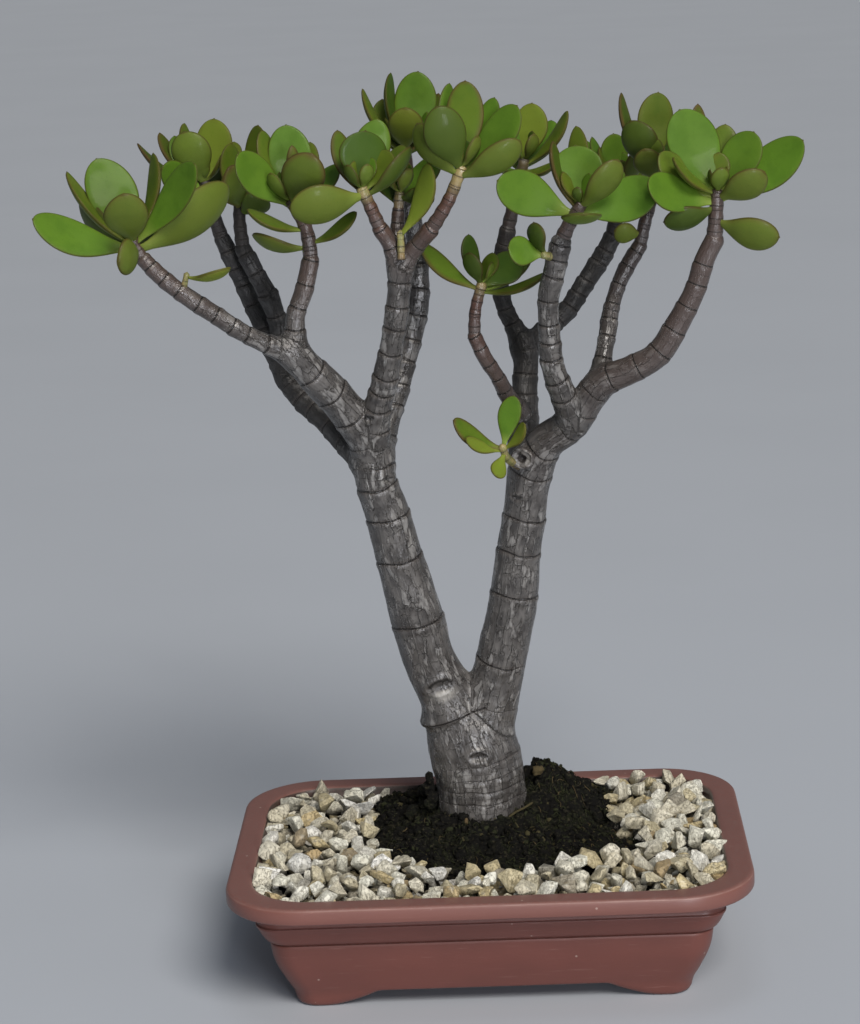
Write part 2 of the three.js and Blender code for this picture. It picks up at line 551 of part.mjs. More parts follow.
function makeShoot(shoot, random, keepClear) {
  const points = shoot.stem.map(([x, y, z]) => new THREE.Vector3(x, y, z));
  const towards = points[1].clone().sub(points[0]).normalize();
  points[0].addScaledVector(towards, GAP);
  const heart = points.at(-1);
  const stem = bar(points.map((point, i) => {
    const share = i / (points.length - 1);
    return [point.x, point.y, point.z, shoot.radius[0] * (1 - share) + shoot.radius[1] * share];
  }), 6);
  const rows = [...shoot.leaves, ...backLeaves(shoot.back, random)];
  const leaves = rows.map(([x, y, z, turn, width, drop]) => {
    const tip = heart.clone().add(new THREE.Vector3(x, y, z));
    const axis = alongStem(points, drop + ROOT_DEPTH);
    const root = axis.clone().addScaledVector(tip.clone().sub(axis).normalize(), ROOT_OFFSET);
    return leaf(root, tip, turn, width);
  });
  return mainBody(joined([stem, ...leaves]).subtract(keepClear));
}

// ---------------------------------------------------------------- assembly
const group = new THREE.Group();
const random = seeded(SEED + 1);
group.add(meshOf('pot', makePot(), MATERIALS.pot));
group.add(meshOf('soil', makeSoil(), MATERIALS.soil));
group.add(meshOf('gravel', makeGravel(), MATERIALS.gravel));
group.add(meshOf('trunk_and_left_limb', makeTrunk(), MATERIALS.wood));
const trunkSpace = makeTrunk(GAP);
group.add(meshOf('right_limb', mainBody(makeRightLimb().subtract(trunkSpace)), MATERIALS.wood));
const keepClear = trunkSpace.add(makeRightLimb(GAP));
SHOOTS.forEach((shoot) => {
  group.add(meshOf(shoot.name, makeShoot(shoot, random, keepClear), MATERIALS.leaf));
});

const bounds = new THREE.Box3().setFromObject(group);
const middle = bounds.getCenter(new THREE.Vector3());
group.position.set(-middle.x, -middle.y, -bounds.min.z);

export default group;
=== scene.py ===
"""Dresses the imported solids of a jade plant, grown as a small V-trunked tree in a footed pot.

Tables and shapes are in millimetres round the middle of the pot, +Z up and +Y to the back.
to_frame() moves them into the part's own frame and turns them into metres.
"""

import logging
import math
from dataclasses import dataclass, field
from enum import Enum
from functools import cached_property
from typing import Any, Iterable, Sequence

import bmesh
import bpy
import numpy as np
from mathutils import Matrix, Vector


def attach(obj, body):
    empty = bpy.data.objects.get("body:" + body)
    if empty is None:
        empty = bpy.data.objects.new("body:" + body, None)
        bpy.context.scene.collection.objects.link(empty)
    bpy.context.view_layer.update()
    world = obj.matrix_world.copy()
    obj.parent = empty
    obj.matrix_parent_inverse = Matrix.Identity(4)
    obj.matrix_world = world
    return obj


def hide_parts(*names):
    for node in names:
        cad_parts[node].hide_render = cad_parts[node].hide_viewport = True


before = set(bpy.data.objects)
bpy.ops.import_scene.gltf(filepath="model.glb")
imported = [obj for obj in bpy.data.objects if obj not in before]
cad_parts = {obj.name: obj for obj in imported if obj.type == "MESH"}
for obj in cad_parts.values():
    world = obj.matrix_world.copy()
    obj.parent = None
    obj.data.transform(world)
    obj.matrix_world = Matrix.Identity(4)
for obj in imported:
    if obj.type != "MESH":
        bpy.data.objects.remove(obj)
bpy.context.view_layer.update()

LOG = logging.getLogger("jade_bonsai")
MM = 0.001
POT_OFFSET = np.array([20.5, 0.0, 0.0])  # from the middle of the pot to the part's origin
SEED = 11
Array = np.ndarray
Points = Sequence[Sequence[float]]
Random = np.random.Generator
Material = bpy.types.Material
Object = bpy.types.Object
Socket = bpy.types.NodeSocket


# ---- colours, noise, meshes and lines
def hex_linear(code: str) -> tuple[float, float, float, float]:
    """Turns an sRGB hex colour into linear RGBA.

    Args:
        code: six hex digits.

    Returns:
        Linear red, green and blue, with an alpha of 1.
    """
    parts = [int(code[i : i + 2], 16) / 255 for i in (0, 2, 4)]
    linear = [c / 12.92 if c <= 0.04045 else ((c + 0.055) / 1.055) ** 2.4 for c in parts]
    return (linear[0], linear[1], linear[2], 1.0)


def to_frame(points: Array) -> Array:
    """Moves points from the pot's millimetres into the part's frame, in metres."""
    return (points + POT_OFFSET) * MM


def smooth_noise(points: Array, size: float, seed: int = 0) -> Array:
    """Smooth value noise.

    Args:
        points: places as rows of x, y, z.
        size: distance over which the noise changes, in the points' unit.
        seed: picks the pattern.

    Returns:
        One value from -1 to 1 for each point.
    """
    scaled = points / size
    base = np.floor(scaled).astype(np.int64)
    share = scaled - base
    share = share * share * (3 - 2 * share)
    total = np.zeros(len(points))
    for corner in np.ndindex(2, 2, 2):
        cell = base + np.array(corner)
        key = (cell[:, 0] * 73856093) ^ (cell[:, 1] * 19349663) ^ (cell[:, 2] * 83492791)
        key = (key ^ (seed * 40503 + 977)) & 0x7FFFFFFF
        key = ((key ^ (key >> 13)) * 1274126177) & 0x7FFFFFFF
        key = ((key ^ (key >> 15)) * 668265263) & 0x7FFFFFFF
        weight = np.prod(np.where(np.array(corner) == 1, share, 1 - share), axis=1)
        total += weight * (key / 0x3FFFFFFF - 1)
    return total


def unit(vectors: Array) -> Array:
    """Scales each vector to a length of 1."""
    return vectors / np.maximum(np.linalg.norm(vectors, axis=-1, keepdims=True), 1e-9)


def shown(name: str, data: bpy.types.ID) -> Object:
    """Adds an object to the scene.

    Args:
        name: of the object.
        data: the mesh, light or camera that it shows.

    Returns:
        The object.
    """
    made = bpy.data.objects.new(name, data)
    bpy.context.scene.collection.objects.link(made)
    return made


@dataclass
class Skin:
    """Vertices, faces and per-vertex values of a mesh that is being put together.

    Attributes:
        verts: blocks of points in pot millimetres.
        faces: blocks of vertex indices, each with one face size.
        marks: material index of each block of faces.
        values: named per-vertex values, one block for each block of points.
        count: number of points so far.
    """

    verts: list[Array] = field(default_factory=list)
    faces: list[Array] = field(default_factory=list)
    marks: list[int] = field(default_factory=list)
    values: dict[str, list[Array]] = field(default_factory=dict)
    count: int = 0

    def add(self, verts: Array, faces: Iterable[Array], mark: int = 0, **values: Any) -> None:
        """Adds one block of geometry.

        Args:
            verts: the block's points.
            faces: arrays of faces that index into the block.
            mark: material index.
            **values: per-vertex values of the block, or one value for all of it.
        """
        for block in faces:
            self.faces.append(np.asarray(block, np.int64) + self.count)
            self.marks.append(mark)
        self.verts.append(verts)
        self.count += len(verts)
        for name, value in values.items():
            given = np.asarray(value, float)
            whole = given.ndim > 0 and len(given) == len(verts)
            shape = given.shape if whole else (len(verts), *given.shape)
            self.values.setdefault(name, []).append(np.broadcast_to(given, shape))

    def piece(
        self,
        name: str,
        materials: Sequence[Material],
        slot: str,
        replaces: Sequence[str] = (),
        sharp_deg: float = 180.0,
    ) -> Object:
        """Turns the skin into a piece that rides on the part.

        Args:
            name: name of the piece.
            materials: its materials, in the order of the marks.
            slot: the record's material slot; not used.
            replaces: CAD nodes that the piece stands for.
            sharp_deg: edges with a larger angle are shaded sharp.

        Returns:
            The new object.
        """
        mesh = bpy.data.meshes.new(name)
        verts = to_frame(np.vstack(self.verts)).astype(np.float32)
        sizes = np.concatenate([np.full(len(f), f.shape[1]) for f in self.faces])
        loops = np.concatenate([f.ravel() for f in self.faces])
        marks = np.concatenate([np.full(len(f), m) for f, m in zip(self.faces, self.marks)])
        mesh.vertices.add(len(verts))
        mesh.vertices.foreach_set("co", verts.ravel())
        mesh.loops.add(len(loops))
        mesh.loops.foreach_set("vertex_index", loops.astype(np.int32))
        mesh.polygons.add(len(sizes))
        starts = np.concatenate([[0], np.cumsum(sizes)[:-1]])
        mesh.polygons.foreach_set("loop_start", starts.astype(np.int32))
        mesh.polygons.foreach_set("material_index", marks.astype(np.int32))
        for material in materials:
            mesh.materials.append(material)
        mesh.update(calc_edges=True)
        mesh.validate()
        mesh.shade_smooth()
        if sharp_deg < 180:
            mesh.set_sharp_from_angle(angle=math.radians(sharp_deg))
        for key, blocks in self.values.items():
            data = np.concatenate(blocks).astype(np.float32)
            vector = data.ndim == 2
            layer = mesh.attributes.new(key, "FLOAT_VECTOR" if vector else "FLOAT", "POINT")
            layer.data.foreach_set("vector" if vector else "value", data.ravel())
        made = shown(name, mesh)
        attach(made, "root")
        if replaces:
            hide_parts(*replaces)
        return made


def loft_faces(rows: int, columns: int) -> Array:
    """Quads that join closed rings of points.

    Args:
        rows: number of rings.
        columns: number of points in a ring.

    Returns:
        Rows of four indices, counter-clockwise seen from outside.
    """
    ring = np.arange(columns)
    after = (ring + 1) % columns
    quad = np.stack([ring, after, after + columns, ring + columns], 1)
    return np.vstack([quad + row * columns for row in range(rows - 1)])


def fan(ring: Array, hub: int) -> Array:
    """Triangles that join a ring of points to a hub."""
    return np.stack([ring, np.roll(ring, -1), np.full(len(ring), hub)], 1)


def closed_loft(rows: int, columns: int) -> list[Array]:
    """Faces of a loft that is closed by a hub at each end.

    Args:
        rows: number of rings.
        columns: number of points in a ring.

    Returns:
        Quads between the rings and triangles to the hubs, which follow the rings'
        points: the hub of the first ring and then the hub of the last.
    """
    first = np.arange(columns)
    hub = rows * columns
    return [loft_faces(rows, columns), fan(first, hub)[:, [1, 0, 2]], fan(first + hub - columns, hub + 1)]


def spline(four: Iterable[Array], share: Any) -> Array:
    """The place at a share of a smooth line's stretch.

    Args:
        four: the point before the stretch, its start, its end and the point after it.
        share: part of the stretch, from 0 to 1.

    Returns:
        The place, with as many values as the points have.
    """
    before, start, end, after = four
    square = (2 * before - 5 * start + 4 * end - after) * share**2
    cube = (3 * start - before - 3 * end + after) * share**3
    return 0.5 * (2 * start + (end - before) * share + square + cube)


def smooth_line(points: Points, steps: int = 5) -> Array:
    """A smooth line through points.

    Args:
        points: rows of x, y, z and radius.
        steps: samples to each stretch.

    Returns:
        Rows of x, y, z and radius along the line.
    """
    rows = np.array(points, float)
    padded = np.vstack([2 * rows[0] - rows[1], rows, 2 * rows[-1] - rows[-2]])
    line = [
        spline(padded[i - 1 : i + 3], share)
        for i in range(1, len(padded) - 2)
        for share in np.arange(steps) / steps
    ]
    return np.array([*line, rows[-1]])


def line_frames(path: Array) -> tuple[Array, Array, Array]:
    """Directions along and across a line, turning as little as can be.

    Args:
        path: points of the line.

    Returns:
        The direction along it and two across it, at each point.
    """
    along = unit(np.gradient(path, axis=0))
    across = np.empty_like(along)
    side = np.array([1.0, 0.2, 0.0])
    for i, direction in enumerate(along):
        side = unit(side - direction * side.dot(direction))
        across[i] = side
    return along, across, np.cross(along, across)


def round_tube(line: Array, sides: int, past: float, swell: Any = 1.0) -> Array:
    """A round tube along a line.

    Args:
        line: rows of x, y, z and radius.
        sides: number of points in a ring.
        past: how far its end stands past the line.
        swell: factor on the radii.

    Returns:
        The rings' points and the hubs of both ends, in the order of closed_loft().
    """
    path = line[:, :3]
    along, across, other = line_frames(path)
    angles = np.arange(sides) / sides * math.tau
    circle = np.cos(angles)[:, None] * across[:, None] + np.sin(angles)[:, None] * other[:, None]
    rings = path[:, None] + circle * (line[:, 3] * swell)[:, None, None]
    return np.vstack([rings.reshape(-1, 3), path[0], path[-1] + along[-1] * past])


def run_of(path: Array) -> Array:
    """Distance of each point of a path from its start, along the path."""
    return np.concatenate([[0], np.cumsum(np.linalg.norm(np.diff(path, axis=0), axis=1))])


# ---- shading
class Surface:
    """A material in the making: its nodes, its shader and its colour so far."""

    def __init__(self, name: str, colour: str) -> None:
        """Starts a material.

        Args:
            name: of the finish.
            colour: its ground colour as sRGB hex.
        """
        self.material = bpy.data.materials.new(name)
        self.material.use_nodes = True
        self.tree = self.material.node_tree
        self.tree.nodes.clear()
        self.colour: Any = hex_linear(colour)
        look = self.add("BsdfPrincipled")
        self.shader = look.node
        self.add("OutputMaterial", {"Surface": look})

    def wire(self, node: bpy.types.Node, inputs: Any) -> None:
        """Links sockets to a node's inputs and writes all other values into them.

        Args:
            node: the node.
            inputs: values or output sockets in the order of the inputs, or by name or number.
        """
        for key, value in inputs.items() if isinstance(inputs, dict) else enumerate(inputs):
            if isinstance(value, Socket):
                self.tree.links.new(value, node.inputs[key])
            else:
                node.inputs[key].default_value = value

    def add(self, kind: str, inputs: Any = (), output: Any = 0, **settings: Any) -> Any:
        """Adds a node with its settings and links.

        Args:
            kind: the node's type, without the first word of its name.
            inputs: what wire() takes.
            output: name or number of the output that is wanted.
            **settings: the node's own properties.

        Returns:
            The wanted output, or None for a node without outputs.
        """
        node = self.tree.nodes.new("ShaderNode" + kind)
        for name, value in settings.items():
            setattr(node, name, value)
        self.wire(node, inputs)
        return node.outputs[output] if node.outputs else None

    @cached_property
    def place(self) -> Socket:
        """The object's own coordinates in millimetres."""
        here = self.add("TexCoord", output="Object")
        return self.add("VectorMath", (here, (1000, 1000, 1000)), operation="MULTIPLY")

    def kept(self, name: str) -> Sequence[Socket]:
        """The three values that the mesh keeps at each of its points under a name."""
        vector = self.add("Attribute", output="Vector", attribute_name=name)
        return self.add("SeparateXYZ", (vector,)).node.outputs

    def pattern(self, kind: str, size_mm: Any, over: Any = None, output: Any = 0, **inputs: Any) -> Any:
        """Adds a texture whose features have a real size.

        Args:
            kind: the texture's type, such as Noise.
            size_mm: size of a feature, the same all ways or as x, y and z.
            over: places in millimetres, when they aren't the object's own.
            output: name or number of the output that is wanted.
            **inputs: the texture's other inputs.

        Returns:
            The wanted output.
        """
        per_mm = tuple(1 / float(size) for size in np.broadcast_to(size_mm, 3))
        counts = self.add("VectorMath", (self.place if over is None else over, per_mm), operation="MULTIPLY")
        return self.add("Tex" + kind, {"Vector": counts, "Scale": 1.0, **inputs}, output)

    def distance(self, value: Any, middle: float = 0.0) -> Any:
        """How far a value lies from a middle, to either side."""
        away = self.add("Math", (value, middle), operation="SUBTRACT")
        return self.add("Math", (away,), operation="ABSOLUTE")

    def share(self, *parts: Any) -> Any:
        """Multiplies parts of a share.

        Args:
            *parts: sockets, numbers, or soft steps as value, low, high and, when it isn't
                0 and 1, what the step gives at low and at high.

        Returns:
            Their product.
        """
        total = None
        for part in parts:
            if isinstance(part, tuple):
                part = self.add("MapRange", part, interpolation_type="SMOOTHSTEP")
            total = part if total is None else self.add("Math", (total, part), operation="MULTIPLY")
        return total

    def cover(self, colour: Any, *parts: Any) -> Any:
        """Lays a colour over the surface.

        Args:
            colour: sRGB hex or a socket.
            *parts: how much of it shows, as share() takes it.

        Returns:
            How much of it shows.
        """
        share = self.share(*parts)
        upper = hex_linear(colour) if isinstance(colour, str) else colour
        self.colour = self.add("Mix", {0: share, 6: self.colour, 7: upper}, 2, data_type="RGBA")
        return share

    def relief(self, depth_mm: float, strength: float, *terms: tuple[Any, float]) -> None:
        """Raises the surface by patterns.

        Args:
            depth_mm: rise that a height of 1 stands for.
            strength: strength of the bump.
            *terms: the patterns, each with its weight.
        """
        rise: Any = 0.0
        for value, weight in terms:
            rise = self.add("Math", (value, weight, rise), operation="MULTIPLY_ADD")
        normal = self.add("Bump", {"Height": rise, "Distance": depth_mm * MM, "Strength": strength})
        self.wire(self.shader, {"Normal": normal})

    def finish(self, **inputs: Any) -> Material:
        """Gives the shader its colour and its other values.

        Args:
            **inputs: the shader's values, with _ for the spaces of their names.

        Returns:
            The material.
        """
        named = {name.replace("_", " "): value for name, value in inputs.items()}
        self.wire(self.shader, {"Base Color": self.colour, **named})
        return self.material


# ---- finishes
@dataclass(frozen=True)
class MouldedPolypropylene:
    """Red-brown polypropylene, injection moulded: a soft satin gloss with fine scuffs and dust.

    Attributes:
        base: colour of the plastic.
        worn: colour where it is rubbed or dusty.
        scuff_mm: width and length of a scuff.
    """

    base: str = "6c3f37"
    worn: str = "8a665e"
    scuff_mm: tuple[float, float] = (1.2, 22.0)

    def build(self) -> Material:
        """Builds the finish.

        Returns:
            The material.
        """
        made = Surface("moulded_polypropylene", self.base)
        made.cover("5e3831", (made.pattern("Noise", (40, 40, 25), Detail=3), 0.35, 0.7, 0, 0.35))
        wide, long = self.scuff_mm
        scuff = made.pattern("Noise", (long, long / 2, wide), Detail=4, Roughness=0.65)
        scuffed = made.cover(self.worn, (scuff, 0.6, 0.74, 0, 0.45))
        # The lip, from its underside up, is lighter all over.
        height = made.add("SeparateXYZ", (made.place,), 2)
        made.cover(self.worn, (height, 57.3, 58.4, 0, 0.28))
        # Dust lies on the faces that look up.
        normal = made.add("NewGeometry", output="Normal")
        upward = made.add("SeparateXYZ", (normal,), 2)
        dusty = made.pattern("Noise", 1.6, Detail=4, Roughness=0.7)
        dust = made.cover("7c6c66", (upward, 0.5, 0.95), (dusty, 0.42, 0.72, 0.06, 0.4))
        # The inner wall is painted dark, as painted shade in the pot's hollow: there the surface looks back at
        # the pot's middle.
        facing = made.add("VectorMath", (made.place, normal), "Value", operation="DOT_PRODUCT")
        inner = made.share((facing, -40, -10, 1, 0), (height, 65.0, 65.9, 1, 0))
        made.cover("30241f", inner, (dusty, 0.3, 0.6, 0.75, 0.95))
        # The rim's rounded upper edge is pale: partly rubbed wear, partly a painted highlight.
        made.cover("9a7d74", (height, 64.7, 65.3), (upward, 0.4, 0.9, 1, 0), (scuff, 0.42, 0.62, 0.25, 0.9))
        made.cover("c5b6ab", (made.pattern("Voronoi", 13), 0.035, 0.055, 0.4, 0))
        # The mould's grain is drawn coarser than the real one, to show, on shallow waves.
        grain = made.pattern("Noise", 0.9, Detail=3)
        made.relief(0.35, 0.5, (grain, 0.12), (made.pattern("Noise", (16, 16, 9)), 0.9))
        worn = made.add("Math", (scuffed, dust), operation="ADD")
        return made.finish(Roughness=made.share((worn, 0, 0.6, 0.42, 0.68)), IOR=1.49)


@dataclass(frozen=True)
class CrushedMarble:
    """Crushed marble: broken faces, dry and matt, from near-white to ochre.

    Attributes:
        tones: colours of single stones with their places in the mix.
    """

    tones: tuple[tuple[float, str], ...] = (
        (0.0, "e7e5dc"), (0.2, "deddcd"), (0.42, "d4cfbc"), (0.6, "c6bfa8"), (0.74, "bbb294"),
        (0.85, "c7b88e"), (0.92, "a69067"), (0.96, "989487"), (1.0, "f0f0ea"),
    )

    def build(self) -> Material:
        """Builds the finish.

        Returns:
            The material.
        """
        made = Surface("crushed_marble", self.tones[0][1])
        made.colour = made.add("ValToRGB", (made.add("Attribute", output="Fac", attribute_name="tone"),))
        band = made.colour.node.color_ramp
        band.elements[0].color = hex_linear(self.tones[0][1])
        band.elements[1].color = hex_linear(self.tones[-1][1])
        for at, code in self.tones[1:-1]:
            band.elements.new(at).color = hex_linear(code)
        # Ochre veins and thin dark threads run through the stone.
        vein = made.pattern("Noise", (5, 5, 2.6), Detail=5, Roughness=0.62)
        made.cover("7d6f52", (vein, 0.56, 0.7, 0, 0.5))
        thread = made.pattern("Noise", (2.2, 2.2, 6), Detail=4, Roughness=0.7)
        line = made.cover("5e503a", (made.distance(thread, 0.5), 0, 0.028, 0.5, 0))
        made.cover("dfddd0", (made.pattern("Noise", 3.4, Detail=3), 0.55, 0.75, 0, 0.35))
        # Stones are painted darker lower down, below the tops of the layer: painted shade between the stones.
        made.cover("352e25", (made.add("SeparateXYZ", (made.place,), 2), 56.5, 62.5, 0.92, 0))
        # Broken crystals, drawn a little coarse to show, on larger facets.
        chips = made.pattern("Noise", 1.6, Detail=4, Roughness=0.6)
        made.relief(0.8, 0.9, (chips, 1), (made.pattern("Voronoi", (4, 4, 3.2)), 1), (line, -1))
        return made.finish(Roughness=0.62, IOR=1.55)


@dataclass(frozen=True)
class MossyPeat:
    """Damp black peat with thin moss: nearly black, with green and brown crumbs.

    Attributes:
        dark: colour of the peat.
        moss: colour of the moss.
        fibre: colour of dry fibres.
    """

    dark: str = "100f0d"
    moss: str = "2a2e1a"
    fibre: str = "6a5a40"

    def build(self) -> Material:
        """Builds the finish.

        Returns:
            The material.
        """
        made = Surface("mossy_peat", self.dark)
        patch = made.pattern("Noise", 14, Detail=3)
        grain = made.pattern("Noise", 1.4, Detail=4, Roughness=0.7)
        made.cover(self.moss, (patch, 0.45, 0.65), (grain, 0.4, 0.65, 0, 0.75))
        fleck = made.pattern("Noise", (2.2, 2.2, 1.6), Detail=5, Roughness=0.72)
        made.cover("4a4635", (fleck, 0.53, 0.68, 0, 0.75))
        # Each crumb and strand has a tone: soil, then moss, then dry fibre.
        tone = made.add("Attribute", output="Fac", attribute_name="tone")
        made.cover("3b3f28", (tone, 0.35, 0.7))
        made.cover(self.fibre, (tone, 0.75, 1.0))
        made.relief(1.1, 1.0, (fleck, 2), (made.pattern("Noise", 0.8, Detail=5, Roughness=0.7), 1))
        return made.finish(Roughness=0.9, IOR=1.4, Specular_IOR_Level=0.25)


@dataclass(frozen=True)
class JadeBark:
    """Thin grey-brown bark of a jade plant: smooth, slightly glossy, ringed by old leaf scars.

    Attributes:
        grey: colour of old bark.
        shade: colour of its darker streaks.
        brown: colour of middle-aged wood.
        young: colour of young wood.
        tip: colour of the green tips.
        crack: colour of cracks and scars.
        plate_mm: width and length of a plate between cracks.
    """

    grey: str = "5f5c59"
    shade: str = "383533"
    brown: str = "493d38"
    young: str = "52392f"
    tip: str = "7c7c48"
    crack: str = "211e1c"
    plate_mm: tuple[float, float] = (5.2, 15.0)

    def plates(self, made: Surface) -> tuple[Any, Any, Any]:
        """Adds the plates that old bark breaks into.

        Args:
            made: the bark.

        Returns:
            The share of cracks, the same with the lit edges beside them, and how
            well the pattern closes round the limb.
        """
        plate = made.add("Attribute", output="Vector", attribute_name="plate")
        wobble = made.pattern("Noise", (9, 5, 50), plate, 1, Detail=4)
        shift = made.add("VectorMath", (wobble, (7, 5, 0)), operation="MULTIPLY")
        bent = made.add("VectorMath", (plate, shift), operation="ADD")
        wide, long = self.plate_mm
        seen, near = (
            made.add("TexBrick", {
                "Vector": bent, "Scale": 1.0, "Brick Width": long, "Row Height": wide,
                "Mortar Size": size, "Mortar Smooth": smooth,
            }, "Fac", offset=0.4)
            for size, smooth in ((0.24, 0.5), (0.6, 0.8))
        )
        return seen, near, made.add("SeparateXYZ", (plate,), 2)

    def build(self) -> Material:
        """Builds the finish.

        Returns:
            The material.
        """
        made = Surface("jade_bark", self.shade)
        along = made.add("Attribute", output="Vector", attribute_name="along")
        ring, weight, scar = made.kept("marks")
        age, rear, _ = made.kept("kind")
        seen, near, seam = self.plates(made)
        where = made.pattern("Noise", (10, 10, 22), along, Detail=3)
        old = made.share((age, 0.4, 0.75))
        there = made.share((where, 0.4, 0.52), old, seam)
        crack = made.share(seen, there)
        lit = made.share(made.add("Math", (near, seen), operation="SUBTRACT"), there)
        streak = made.pattern("Noise", (1.3, 1.3, 13), along, Detail=5, Roughness=0.62)
        patch = made.pattern("Noise", (6, 6, 10), along, Detail=4, Roughness=0.6)
        flake = made.pattern("Noise", (3.8, 3.8, 10), along, Detail=4, Roughness=0.55)
        made.cover(self.grey, (patch, 0.32, 0.68))
        made.cover("2b2826", (streak, 0.52, 0.68, 0, 0.6))
        made.cover("989693", (flake, 0.54, 0.66, 0, 0.55))
        made.cover("a9a7a3", lit, 0.22)
        # The thin outer skin has come off in flakes, and each stands out by a dark outline.
        rim = made.cover("2b2826", (made.distance(flake, 0.53), 0, 0.016, 0.75, 0), old)
        # Younger wood is smoother and browner, up to the green tips.
        made.cover(self.brown, (age, 0.42, 0.8, 1, 0))
        made.cover(self.young, (age, 0.18, 0.42, 1, 0))
        blotch = made.share((patch, 0.4, 0.6))
        greens = {6: hex_linear(self.tip), 7: hex_linear("9a8a5c")}
        tip = made.add("Mix", {0: blotch, **greens}, 2, data_type="RGBA")
        made.cover(tip, (age, 0.04, 0.2, 1, 0))
        # The limbs at the back get little light, so their bark is painted darkest: painted shade.
        made.cover("0d0a09", rear, 1.05)
        made.cover(self.crack, crack, 0.75)
        # A ring scar is a dark groove in a darker band, and a leaf scar a dark dent.
        off_ring = made.distance(ring)
        made.cover("47403b", (off_ring, 0.4, 2.6, 0.35, 0), weight)
        groove = made.share((off_ring, 0.15, 0.55, 1, 0), weight)
        made.cover(self.crack, groove, 0.9)
        made.cover(self.crack, (scar, 0.15, 0.9, 0, 0.85))
        made.cover("a8a59f", (scar, -0.9, -0.1, 0.8, 0))
        # The skin's fine wrinkles are drawn coarser than the real ones, to show.
        fine = made.pattern("Noise", (0.7, 0.7, 2.6), along, Detail=4, Roughness=0.6)
        raised = ((streak, 0.45), (fine, 0.16), (flake, 1.0), (lit, 0.2))
        made.relief(0.85, 1.0, *raised, (rim, -0.3), (crack, -0.9), (groove, -1))
        gloss, dull = made.share((flake, 0.35, 0.65, 0.36, 0.2)), made.share((rear, 0.3, 0.8, 0, 0.3))
        rough = made.add("Math", (gloss, dull), operation="ADD")
        return made.finish(Roughness=rough, IOR=1.55, Specular_IOR_Level=0.6)


@dataclass(frozen=True)
class WaxyLeaf:
    """Living leaf flesh under a wax cuticle: glossy, a little see-through, redder at its rim.

    Attributes:
        bright: colour of a fresh upper face.
        olive: colour of an old or shaded leaf.
        under: colour of the underside.
        rim: colour of the red rim.
        rim_mm: width of the rim.
    """

    bright: str = "517220"
    olive: str = "5a671f"
    under: str = "5f6c2b"
    rim: str = "43351a"
    rim_mm: float = 0.75

    def build(self) -> Material:
        """Builds the finish.

        Returns:
            The material.
        """
        made = Surface("waxy_leaf", self.bright)
        share, rim_at, face = made.kept("spot")
        olive, dark, blush = made.kept("look")
        cloud = made.pattern("Noise", 9, Detail=3)
        made.cover(self.olive, olive)
        made.cover("3c5c15", (cloud, 0.4, 0.7, 0, 0.35))
        made.cover(self.under, (face, -0.35, 0.15, 0.7, 0))
        # The leaf is palest at its root, where it joins the stem.
        made.cover("7f9040", (share, 0.03, 0.3, 0.7, 0))
        # Dark leaves are partly old ones and partly painted shade on leaves that lie in shade, and young ones,
        # with a negative darkness, are yellowish.
        made.cover("1d3112", dark)
        made.cover("79842f", (dark, -0.9, -0.1, 0.8, 0))
        made.cover("2c4c16", (made.pattern("Voronoi", 1.7), 0.10, 0.22, 0.22, 0))
        # The blush spreads inwards from the rim, and the rim itself is a thin line.
        spread = made.add("Math", (rim_at, cloud), operation="ADD")
        made.cover("573a29", blush, (spread, 0.6, 3.6, 0.6, 0))
        made.cover(self.rim, (rim_at, self.rim_mm * 0.3, self.rim_mm, 0.6, 0), (share, 0.1, 0.35))
        # The relief is the flesh's slow waves and pores, drawn coarse enough to show.
        made.relief(0.5, 0.5, (made.pattern("Noise", 7), 1), (made.pattern("Noise", 1.1), 0.08))
        # The coat is the wax itself: a thin smooth film that carries the small sharp highlights.
        return made.finish(
            Roughness=made.share((cloud, 0.3, 0.7, 0.46, 0.56)), IOR=1.4, Specular_IOR_Level=0.16,
            Subsurface_Weight=0.12, Subsurface_Radius=(0.6, 1.0, 0.25), Subsurface_Scale=0.0025,
            Coat_Weight=0.05, Coat_Roughness=0.08,
        )


@dataclass(frozen=True)
class PaintedFloor:
    """A smooth table top painted pale grey, with a very soft gloss.

    Attributes:
        colour: of the paint.
    """

    colour: str = "b0b6be"

    def build(self) -> Material:
        """Builds the finish.

        Returns:
            The material.
        """
        made = Surface("painted_floor", self.colour)
        made.cover("a9afb7", (made.pattern("Noise", 300, Detail=3), 0.3, 0.7, 0, 0.25))
        return made.finish(Roughness=0.7, Specular_IOR_Level=0.2)


